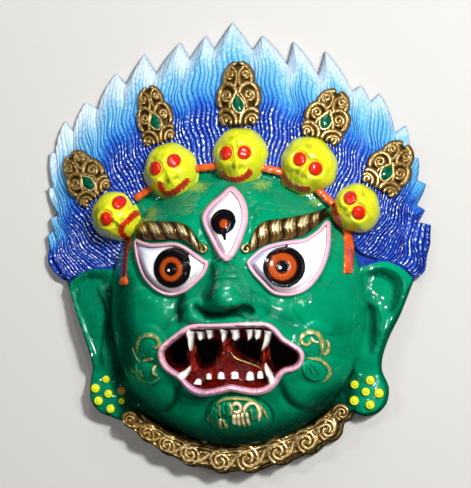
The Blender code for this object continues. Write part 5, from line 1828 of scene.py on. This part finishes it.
    def values(self, corners: Array) -> dict[str, Array]:
        """Returns what the paint reads from the casting.

        Args:
            corners: Its corners in millimetres.

        Returns:
            Values per corner.
        """
        relief, (x, y, z) = self.relief, corners.T
        lips = lip_loop()
        lip_gap = nearest(lips, x, y, 14, closed=True)[0]
        beard_gap = nearest(beard_line(), x, y, 32)[0]
        dark = self.shade_and_glaze(x, y, z, lip_gap, beard_gap)
        proud = np.clip((z - relief.read(relief.blurred(relief.ground, 6), x, y)) / 1.5, 0, 0.8)
        walls = 1.4 * hill(x, y, -1, -35.3, 17, 4.0) + hill(x, y, -10, -20, 5, 14) + ease(42, 22, beard_gap)
        return {
            "flow": corners,
            # Darker on the left ear and cheek: painted shade
            GLAZE_AND_SHADE: np.maximum(dark, 0.4 * ease(-74, -86, x) * (y < -10)),
            # Orange painted highlight on the ridges inside the mouth
            RUB_AND_HIGHLIGHT: np.where(lip_gap < 30, proud, 0) * inside(lips, x, y) * ease(2.0, 5.0, lip_gap),
            "smudge": sum(strength * hill(x, y, *where) for *where, strength in SMUDGES),
            "tone": 0.35 + 0 * x, "groove": 0.4 + 0 * x, "pale_groove": 0 * x, "drybrush_and_glint": 0 * x,
            "dull": np.clip(np.maximum(dark, walls * (np.abs(x) < 72)), 0, 1),
        }

    def near_paint(self, points: Array) -> Array:
        """Tells which points lie on the face, the ears or the lobes, where the carving shows."""
        x, y = points.T
        found = np.hypot(x / 84, (y + 36) / 91) < 1
        for sign, edge, _ in EARS:
            lobe = np.hypot((x - sign * LOBE) / 18, (y - LOBE_Y) / 21) < 1
            found |= inside(curve(edge, closed=True), x, y) | lobe
        return found | ((y < -12) & (np.abs(x) > 60))

    def kinds(self, points: Array) -> list[int]:
        """Returns the finish of each face of the front by its middle: skin 0, hair 1, mouth 2."""
        x, y = points.T
        relief = self.relief
        hair = relief.sheet(x, y, relief.hair_sheet)
        skin = blend(relief.ears(x, y, hair), relief.face(x, y), 2.0)
        mouth = inside(lip_loop(), x, y)
        brow = inside((*HEADBAND, *BAND_ENDS[1], *BAND_ENDS[0][::-1]), x, y)
        for _, edge, _ in EARS:
            brow |= inside(curve(edge, closed=True), x, y)
        bare = (skin < hair + 0.3) & (y > -22) & ~brow
        return np.where(mouth, 2, np.where(bare, 1, 0)).tolist()


@dataclass
class Headband:
    """The orange band under the skulls and its two hanging ends."""

    half: float = 2.7
    end_half: float = 3.1  # of the hanging ends
    rise: float = 2.8
    lump_mm: float = 5.2  # from one lump to the next

    def build(self, relief: Relief) -> None:
        """Builds the band and its ends.

        Args:
            relief: The ground.
        """
        parts = []
        for k, line in enumerate((HEADBAND, *BAND_ENDS)):
            path = curve(line, steps=24)
            length = np.linalg.norm(np.diff(path, axis=0), axis=1).sum()
            path = evenly(path, int(length / 0.8))
            run = np.linspace(0, length, len(path))
            lump = 0.8 + 0.2 * np.abs(np.sin(math.pi * run / self.lump_mm)) ** 0.5
            share = run / length
            dark = ease(0.9, 0.82, share) if k == 1 else 0 * run
            lump = lump * (1 + 0.3 * ease(0.86, 0.93, share) * ease(1.0, 0.97, share) * (k == 1))
            half = (self.end_half if k else self.half) * lump
            parts.append(ribbon(relief, path, half, self.rise * lump, sink=3.0, extra={"dark": dark}))
        placed("headband", joined(parts), dressed(Finish.BAND))


@dataclass
class Brow:
    """A raised eyebrow of slanted locks that ends in a curl over the nose."""

    name: str
    low: Line  # its lower edge, from left to right
    high: Line
    inner_last: bool  # whether its inner end is the right one
    curl: tuple[float, float, float, int, float]  # middle, radius, hand and start of the curl over the nose
    rise: float = 6.5
    locks: float = 5.6  # how many it has
    slant: float = 1.15  # by how many locks it leans from its lower to its upper edge
    gloom: float = 1.0  # how dark its outer end is

    def build(self, relief: Relief) -> None:
        """Builds the brow.

        Args:
            relief: The ground.
        """
        low, high = evenly(curve(self.low, steps=12), 200), evenly(curve(self.high, steps=12), 200)
        v = np.linspace(0, 1, 31)
        xy = low[:, None, :] * (1 - v)[None, :, None] + high[:, None, :] * v[None, :, None]
        x, y = xy[..., 0], xy[..., 1]
        u = np.linspace(0, 1, 200)[:, None] + 0 * x
        inner = u if self.inner_last else 1 - u
        back = np.sqrt(np.clip(1 - (2 * v - 1) ** 2, 0, 1))[None, :] ** 0.75 + 0 * x
        ends = ease(0, 0.04, u) * ease(1, 0.96, u)
        turn = inner * self.locks + self.slant * (v + 0.09 * np.sin(2 * math.pi * v))[None, :]
        part = turn % 1.0
        lock = np.sqrt(np.clip(np.sin(math.pi * part), 0, 1))
        lump = 0.65 + 0.35 * (1 - part)
        fine = 0.5 + 0.5 * np.cos(2 * math.pi * part * 3.5 + 1.2)
        z = relief.at(x, y) - 0.3 + self.rise * back * ends * (0.66 + 0.34 * lock * lump)
        z = z - 1.0 * (1 - lock) * back - 0.28 * fine * back * lock
        # Darker at the outer end, painted shade between the locks and at their sides, a painted highlight on
        # the crests
        dark = ease(0.2, 0.02, inner)
        crest = lock * back**1.5 * (0.35 + 0.75 * lump * ease(0.05, 0.6, v)[None, :])
        glaze_and_shade = 1.2 * (1 - lock) ** 1.2 + 0.75 * (1 - back) ** 1.5 + self.gloom * dark + 0.3 * fine * lock
        values = {
            "flow": np.stack([part * 9 + 3 * np.floor(turn), v[None, :] * 14 + 0 * x, z], axis=-1),
            GLAZE_AND_SHADE: np.clip(glaze_and_shade, 0, 1),
            RUB_AND_HIGHLIGHT: np.clip(1.5 * crest * (1 - 0.9 * dark * self.gloom) - 0.4 * fine * lock, 0, 1.15),
        }
        placed(self.name, slab(x, y, z, relief.at(x, y) - 2.0, values), dressed(Finish.GOLD))
        cx, cy, radius, hand, start = self.curl
        n, half = 44, 1.15
        path = coil(cx, cy, radius, hand, start, 1.15, n)
        curl = ribbon(
            relief, path, tapered(n, half, 0.1, 0.2), tapered(n, 2 * half, 0.1, 0.2),
            sink=3.0, lift=lambda a, b: np.full_like(a, 0.8),
        )
        placed(f"{self.name}_curl", gilt(curl), dressed(Finish.GOLD))


BROWS = (
    Brow(
        "left_brow",
        (
            (-63.6, 9.0), (-56.9, 7.0), (-49.4, 6.2), (-41.3, 6.5), (-34.3, 7.0), (-28.5, 6.4), (-24.0, 4.2),
            (-20.2, 1.2), (-15.4, -1.8),
        ),
        (
            (-64.8, 15.8), (-60.0, 18.5), (-51.8, 19.1), (-44.1, 18.8), (-36.8, 18.6), (-29.8, 17.6),
            (-24.2, 15.2), (-20.0, 10.6), (-15.0, 3.6),
        ),
        True, (-14.6, 1.0, 2.9, -1, 100),
    ),
    Brow(
        "right_brow",
        (
            (13.2, -1.8), (16.6, -0.3), (20.4, 2.2), (25.2, 4.3), (32.1, 6.0), (39.9, 7.3), (46.6, 9.9),
            (52.4, 14.2), (56.8, 18.8), (60.2, 22.4),
        ),
        (
            (12.6, 3.0), (14.8, 7.4), (16.4, 12.0), (19.3, 16.2), (23.5, 18.8), (30.0, 19.9), (37.7, 21.2),
            (45.4, 22.8), (51.0, 24.6), (58.2, 27.4),
        ),
        False, (12.4, 1.2, 2.9, 1, 80), locks=6.6, gloom=0.55,
    ),
)


@dataclass
class Mouth:
    """The pink lips, the teeth and the gold line on the tongue."""

    lip_half: float = 1.95
    lip_rise: float = 2.8
    lip_out: float = 0.7  # how far the lips' middle lies outside the mouth's edge

    def build(self, relief: Relief) -> None:
        """Builds lips and teeth.

        Args:
            relief: The ground.
        """
        path = evenly(curve(LIPS, closed=True, steps=8), 320, closed=True)
        ahead = np.roll(path, -2, axis=0) - np.roll(path, 2, axis=0)
        out = np.column_stack([-ahead[:, 1], ahead[:, 0]]) / np.hypot(*ahead.T)[:, None]
        path = path + self.lip_out * out
        x, y = path.T
        # Painted shade on the lower left of the lips
        low_left = ease(-60, -84, y) * ease(10, -20, x)
        lips = ribbon(
            relief, path, self.lip_half * (1 + 0.2 * ease(-78, -85, y)), self.lip_rise, closed=True, sink=3.0,
            lift=lambda a, b: 0 * a + 1.0, extra={"shade": 0.8 * low_left},
        )
        placed("lips", lips, dressed(Finish.PINK))
        parts = []
        for root, tip, radius in TEETH:
            long = math.dist(root, tip) > 7
            path = np.linspace(root, tip, 18)
            t = np.linspace(0, 1, len(path))
            if long:
                bend = np.array([-(tip[1] - root[1]), tip[0] - root[0]]) * 0.06 * (1 if root[0] > 0 else -1)
                path = path + bend * np.sin(math.pi * t)[:, None]
            half = radius * (1 - (0.62 if long else 0.25) * t**1.2) * np.sqrt(np.clip((1.02 - t) / 0.25, 0, 1))
            depth = relief.at(path[:, 0], path[:, 1])
            level = depth[0] if depth[0] > depth.mean() else depth.max()
            rise = np.clip(level - depth, 0, None) * 0.75 + half * 0.9 + (2.6 if root[1] > -55 else 1.0)
            # Greyer towards the root, where the tooth meets the gum
            dark_root = {GLAZE_AND_SHADE: ease(0.16, 0.0, t) * 0.7}
            parts.append(drop_extra(ribbon(relief, path, half, rise, sink=1.0, across=9, extra=dark_root)))
        placed("teeth", joined(parts), dressed(Finish.TOOTH))
        thread = ribbon(
            relief, evenly(curve(TONGUE_LINE, steps=8), 40), tapered(40, 0.7), tapered(40, 0.8),
            lift=lambda a, b: 0 * a + 0.3, across=5,
        )
        placed("tongue_line", gilt(thread), dressed(Finish.GOLD))


@dataclass
class Curls:
    """Carved curls on the cheeks and the chin, green with gold rubbed on their upper sides and a painted
    highlight on their crests.
    """

    half: float = 1.9
    rise: float = 2.0
    # Each curl: how much gold it carries, its half width as a share of the common one, and its line
    cheek_lines: tuple[tuple[float, float, Line], ...] = (
        (0.66, 1.2, (
            (-58.3, -64.0), (-58.1, -59.3), (-56.9, -55.9), (-54.5, -53.4), (-51.5, -52.2), (-48.0, -52.0),
            (-44.7, -53.3), (-42.4, -55.8), (-42.5, -58.5), (-44.6, -59.8), (-46.2, -58.4),
        )),
        (0.8, 0.45, ((-62.5, -60.0), (-61.0, -64.0), (-59.3, -67.5), (-57.0, -69.2))),
        (0.85, 0.8, ((-55.0, -68.9), (-50.6, -67.6), (-46.2, -66.7))),
        (0.88, 0.8, ((-44.0, -70.6), (-46.5, -72.6), (-46.5, -75.9), (-43.8, -77.9))),
        (0.45, 0.8, (
            (-60.0, -71.0), (-60.0, -75.0), (-58.6, -78.6), (-55.5, -81.6), (-50.8, -82.8), (-46.4, -81.5),
            (-42.4, -78.1),
        )),
        (0.72, 1.3, (
            (45.2, -56.6), (45.5, -53.0), (47.5, -50.6), (50.5, -49.7), (54.1, -50.2), (56.7, -53.2),
            (57.9, -57.6), (57.9, -62.6), (56.4, -65.0),
        )),
        (0.8, 0.8, ((45.4, -53.6), (46.3, -56.4), (48.5, -57.4), (50.7, -56.2), (49.9, -54.0))),
        (1.0, 0.6, ((51.1, -52.9), (52.9, -55.3), (56.0, -56.2))),
        (0.8, 0.9, ((60.1, -55.0), (61.6, -58.9), (60.8, -62.6), (58.2, -64.8))),
        (0.72, 0.9, (
            (49.0, -65.9), (53.3, -66.2), (56.8, -67.3), (59.9, -70.0), (61.9, -74.4), (60.6, -79.0),
            (57.2, -81.8),
        )),
        (0.35, 0.8, ((46.8, -69.3), (47.2, -74.5), (49.5, -78.0), (53.1, -79.9), (57.0, -79.3))),
        (0.45, 0.5, ((48.1, -69.3), (51.0, -72.0), (52.4, -76.2))),
        (0.3, 0.5, ((49.9, -68.4), (53.2, -70.8), (55.2, -74.1), (55.5, -77.8))),
    )
    chin_lines: tuple[tuple[float, float, Line], ...] = (
        (0.7, 0.7, (
            (-5.9, -97.8), (-6.8, -94.4), (-3.6, -91.6), (1.6, -90.7), (7.7, -90.6), (13.9, -91.8),
            (18.2, -94.9), (21.5, -99.2), (23.2, -105.4),
        )),
        (0.6, 0.7, ((-4.9, -94.6), (-5.8, -98.8), (-5.2, -103.2))),
        (0.3, 0.7, ((-1.9, -93.0), (-3.6, -96.8), (-2.4, -102.1))),
        (0.25, 0.7, ((-0.4, -93.2), (0.2, -98.0), (-0.8, -103.2))),
        (0.8, 0.75, ((0.6, -93.0), (2.4, -97.3), (1.5, -102.6))),
        (1.0, 0.8, ((2.5, -96.4), (5.2, -93.6), (7.9, -95.3), (7.6, -98.5), (4.9, -99.7), (3.1, -97.9))),
        (1.0, 1.0, ((3.9, -100.6), (3.2, -104.6), (3.5, -108.4))),
        (0.95, 0.85, ((6.4, -100.2), (5.9, -104.6), (6.2, -109.5))),
        (0.9, 0.75, ((8.7, -99.6), (8.6, -104.6), (9.3, -109.7))),
        (1.0, 0.85, (
            (9.9, -101.4), (10.5, -97.0), (12.4, -94.3), (16.0, -93.4), (18.4, -96.3), (19.0, -100.9),
            (17.9, -106.3),
        )),
        (0.9, 0.75, ((11.5, -99.4), (11.5, -104.0), (12.2, -109.1))),
        (0.5, 0.7, ((13.9, -97.0), (14.7, -101.1), (14.6, -106.1))),
        (0.35, 0.7, ((16.2, -97.4), (16.6, -101.7), (16.2, -105.5))),
        (0.9, 0.7, ((-5.0, -103.8), (-6.3, -107.7), (-5.3, -111.3))),
        (0.8, 0.7, ((-3.7, -104.3), (-2.8, -108.2), (-1.7, -111.3))),
        (0.3, 0.7, ((-9.4, -96.2), (-11.2, -101.2), (-9.8, -106.6))),
        (0.2, 0.7, ((-12.4, -99.4), (-14.0, -103.6), (-14.2, -108.6))),
        (0.15, 0.7, ((-7.8, -97.0), (-8.6, -102.0), (-7.6, -107.6))),
    )

    def build(self, relief: Relief) -> None:
        """Builds the curls.

        Args:
            relief: The ground.
        """
        for name, lines, width, bright in (
            ("cheek_curls", self.cheek_lines, 1.0, 1.1), ("chin_curls", self.chin_lines, 1.25, 1.15),
        ):
            parts = []
            for gold, share, line in lines:
                path = curve(line, steps=10)
                length = np.linalg.norm(np.diff(path, axis=0), axis=1).sum()
                n = max(12, int(length / 0.7))
                path = evenly(path, n)
                wide = self.half * share * width
                rise = tapered(n, min(self.rise, 0.4 + wide), 0.15, 0.15)
                part = ribbon(relief, path, tapered(n, wide, 0.18, 0.18), rise, across=9)
                part.values[RUB_AND_HIGHLIGHT] *= gold * bright
                part.values[GLAZE_AND_SHADE] *= 0.9
                parts.append(part)
            placed(name, joined(parts), dressed(Finish.SKIN))


@dataclass
class Beard:
    """The collar of spiral scrolls round the jaw."""

    rise: float = 1.7  # of a strand over the collar
    # The strand from one scroll to the next: shares of the way along, and of their mean radius aside
    link: Line = ((-0.34, 0.42), (-0.12, 0.30), (0.10, -0.14), (0.32, -0.36), (0.5, -0.3))

    def lift(self, relief: Relief) -> Callable[[Array, Array], Array]:
        """Returns the height of the collar above the bare ground."""
        def height(x: Array, y: Array) -> Array:
            """Returns it at some places."""
            return np.maximum(relief.beard(x, y) - relief.at(x, y), 0) - 0.5
        return height

    def build(self, relief: Relief) -> None:
        """Builds the collar and its scrolls.

        Args:
            relief: The ground.
        """
        line = evenly(beard_line(20), 300)
        lift = self.lift(relief)
        ahead = np.gradient(line, axis=0)
        out = np.column_stack([ahead[:, 1], -ahead[:, 0]]) / np.hypot(*ahead.T)[:, None]
        steps = np.arange(0, 18, 0.25)
        around = line[:, None, :] + out[:, None, :] * steps[None, :, None]
        gap = relief.read(relief.edge_gap, around[..., 0], around[..., 1])
        far = steps[np.argmax(gap < 0.5, axis=1)]
        far = np.convolve(np.pad(far, 3, mode="edge"), np.ones(7) / 7, mode="valid")
        share = np.linspace(0, 1, 300)
        near = -beard_half(share) * 1.05
        v = np.linspace(0, 1, 45)[None, :]
        off = near[:, None] * (1 - v) + far[:, None] * v
        xy = line[:, None, :] + out[:, None, :] * off[..., None]
        x, y = xy[..., 0], xy[..., 1]
        edge = np.clip(relief.read(relief.edge_gap, x, y), 0, 9)
        ripple = 0.5 * np.cos(off * 2 * math.pi / 3.6 + 0.9 * np.sin(share * 70)[:, None])
        z = relief.at(x, y) + lift(x, y) + 0.3 + ripple * ease(0.0, 0.12, v) - 2.0 * ease(0.1, 0.0, v)
        z = np.minimum(z, relief.bevel(edge))
        # Painted shade in the troughs of the ripples and along the inner edge, a painted highlight on their
        # crests
        inner = ease(0.2, 0.02, v)
        values = {
            "flow": np.stack([share[:, None] * 170 + 0 * v, off, z], axis=-1),
            GLAZE_AND_SHADE: np.clip(0.2 - ripple * 0.6 + inner, 0, 1),
            RUB_AND_HIGHLIGHT: np.clip(0.52 + ripple * 0.8 - inner, 0, 1),
        }
        floor = relief.buried(x, y, np.minimum(z - 1.0, relief.at(x, y)))
        parts = [slab(x, y, z, floor, values)]
        for k in (0.30, 0.92):
            reach = near * (1 - k) + far * k
            parts.append(self.strand(relief, (line + out * reach[:, None])[4:-4], lift, 1.3))
        for i, (cx, cy, r) in enumerate(SCROLLS):
            hand = 1 if i < 5 else -1
            start = math.degrees(facing(cx, cy)) + 120 * hand
            for turn in (0, 180):
                path = coil(cx, cy, r * 0.86, hand, start + turn, 1.2, 64)
                parts.append(self.strand(relief, path, lift, 0.14 * r + 0.2))
            if i + 1 < len(SCROLLS):
                nx, ny, nr = SCROLLS[i + 1]
                mid, along = np.array([(cx + nx) / 2, (cy + ny) / 2]), np.array([nx - cx, ny - cy])
                side = np.array([along[1], -along[0]]) / np.hypot(*along)
                for swing in (-1, 1):
                    wide = swing * (r + nr) / 2
                    path = [mid + along * a * swing + side * b * wide for a, b in self.link]
                    parts.append(self.strand(relief, curve([tuple(p) for p in path], steps=9), lift, 1.25))
        placed("beard", joined([gilt(p) for p in parts]), dressed(Finish.GOLD))

    def strand(
        self, relief: Relief, path: Array, lift: Callable[[Array, Array], Array], half: float
    ) -> Surface:
        """Returns one raised strand of the beard."""
        n = len(path)
        rise = tapered(n, self.rise, 0.1, 0.1)
        strand = ribbon(relief, path, tapered(n, half, 0.1, 0.1), rise, lift=lift, across=7)
        gap = relief.read(relief.edge_gap, *strand.corners[:, :2].T)
        strand.corners[:, 2] = np.minimum(strand.corners[:, 2], relief.bevel(np.clip(gap, 0, 99)) + 0.8)
        # Less painted highlight towards the left, the side away from the light
        strand.values[RUB_AND_HIGHLIGHT] *= 0.8 + 0.18 * ease(-75, -30, strand.corners[:, 0])
        return strand


@dataclass
class EarBeads:
    """Clusters of round beads on the ear lobes."""

    brown: int = 6  # the one bead that is painted brown

    def build(self, relief: Relief) -> None:
        """Builds the beads.

        Args:
            relief: The ground.
        """
        around = np.linspace(0, 2 * math.pi, 32, endpoint=False)[:, None]
        down = np.linspace(0, math.radians(115), 18)[None, :]
        parts = []
        for k, (cx, cy, radius) in enumerate(BEADS):
            x = cx + radius * np.sin(down) * np.cos(around)
            y = cy + radius * np.sin(down) * np.sin(around)
            level = float(relief.at(np.float64(cx), np.float64(cy)))
            ring = np.exp(-(((np.sin(down) - 0.42) / 0.12) ** 2)) * (down < 1.2)
            z = level + 0.2 + radius * 0.85 * np.cos(down) - 0.5 * ring + 0 * x
            edge = np.sin(down) * (down < 1.6) + (down >= 1.6) + 0 * x
            values = {
                # Olive painted shade at the bead's edge and in its ring groove
                GLAZE_AND_SHADE: np.maximum(ease(0.7, 1.0, edge), 0.62 * ring + 0 * x),
                "dark": np.full(x.shape, 1.0 if k == self.brown else 0.0),
            }
            parts.append(merged(slab(x, y, z, np.minimum(z, level - 1.8), values, closed=True)))
        placed("ear_beads", joined(parts), dressed(Finish.BEAD))


@dataclass
class Floor:
    """The plain pale floor that the mask lies on."""

    size: float = 6.0  # metres
    colour: str = "#adaba7"

    def build(self) -> None:
        """Builds the floor."""
        h = self.size / 2
        mesh = bpy.data.meshes.new("floor")
        mesh.from_pydata([(-h, -h, 0), (h, -h, 0), (h, h, 0), (-h, h, 0)], [], [(0, 1, 2, 3)])
        made = bpy.data.materials.new("matt_floor_paint")
        made.use_nodes = True
        tree = made.node_tree
        shader = tree.nodes["Principled BSDF"]
        place = add(tree, "ShaderNodeTexCoord").outputs["Object"]
        grain = add(tree, "ShaderNodeTexNoise", {"Vector": place, "Scale": 60.0, "Detail": 4.0}).outputs["Fac"]
        dull = add(tree, "ShaderNodeMapRange", {0: grain, 3: 0.6, 4: 0.75}).outputs[0]
        tree.links.new(dull, shader.inputs["Roughness"])
        shader.inputs["Base Color"].default_value = linear(self.colour)
        mesh.materials.append(made)
        obj = bpy.data.objects.new("floor", mesh)
        bpy.context.scene.collection.objects.link(obj)
        obj.visible_glossy = False  # the paint mirrors the dark of the room, not the floor


def aimed(place: Vector, target: Vector, up: Vector) -> Matrix:
    """Returns the matrix of something at a place that looks at a target, with its top towards up."""
    f = (target - place).normalized()
    r = f.cross(up).normalized()
    made = Matrix((r, r.cross(f), -f)).transposed().to_4x4()
    made.translation = place
    return made


@dataclass
class StudioLight:
    """Soft studio light: a key from the upper right, small lamps for glints, a fill and an even room."""

    # Watts of the lamps, and the strength of the room's own light
    key: float = 31.0
    glint: float = 2.6
    fill: float = 1.2
    top: float = 3.0
    room: float = 0.06

    def build(self) -> None:
        """Builds the lights."""
        for name, power, place, size, mirrored in (
            ("key", self.key, (0.62, 0.52, 1.26), 0.15, True),
            ("glint_right", 1.4 * self.glint, (0.8, 0.34, 1.1), 0.06, True),
            ("glint_back", self.glint, (0.15, 0.75, 1.15), 0.06, True),
            ("glint_left", self.glint, (-0.7, 0.35, 1.1), 0.05, True),
            ("glint_front", self.glint, (0.1, -0.35, 1.35), 0.05, True),
            ("top_strip", self.top, (0.1, 1.2, 0.7), 0.35, True),
            ("fill", self.fill, (-1.0, -0.5, 1.0), 0.8, False),
        ):
            light = bpy.data.lights.new(name, "AREA")
            light.energy, light.size = power, size
            obj = bpy.data.objects.new(name, light)
            bpy.context.scene.collection.objects.link(obj)
            obj.visible_glossy = mirrored
            obj.matrix_world = aimed(Vector(place), Vector((0, 0, 0.04)), Vector((0, 0.1, 1)))
        world = bpy.data.worlds.new("room")
        bpy.context.scene.world = world
        world.use_nodes = True
        sky = world.node_tree.nodes["Background"]
        sky.inputs[0].default_value = (1.0, 1.0, 1.0, 1)
        sky.inputs[1].default_value = self.room
        world.cycles_visibility.glossy = False  # the enamel mirrors the lamps, not the room


@dataclass
class PhotoCamera:
    """The camera at the photograph's viewing angle."""

    place: tuple[float, float, float] = (0.12698, -0.00189, 1.19343)
    target: tuple[float, float, float] = (-0.00140, 0.00270, 0.0)
    lens: float = 140.07  # mm, on a sensor 36 mm wide

    def build(self) -> None:
        """Builds the camera."""
        data = bpy.data.cameras.new("camera")
        data.lens, data.sensor_width, data.sensor_fit = self.lens, 36.0, "HORIZONTAL"
        obj = bpy.data.objects.new("camera", data)
        bpy.context.scene.collection.objects.link(obj)
        obj.matrix_world = aimed(Vector(self.place), Vector(self.target), Vector((0, 1, 0)))
        bpy.context.scene.camera = obj


def main() -> None:
    """Builds the mask, the floor, the lights and the camera."""
    logging.basicConfig(level=logging.INFO, format="%(message)s")
    bpy.context.scene.view_settings.view_transform = "Standard"
    relief = Relief()
    Shell(relief).build()
    FlameHair().build(relief)
    for piece in (*LEAVES, *SKULLS, Headband(), *EYES, *BROWS, Mouth(), Curls(), Beard(), EarBeads()):
        log.info("building %s", type(piece).__name__)
        piece.build(relief)
    Floor().build()
    StudioLight().build()
    PhotoCamera().build()


if __name__ == "__main__":
    main()
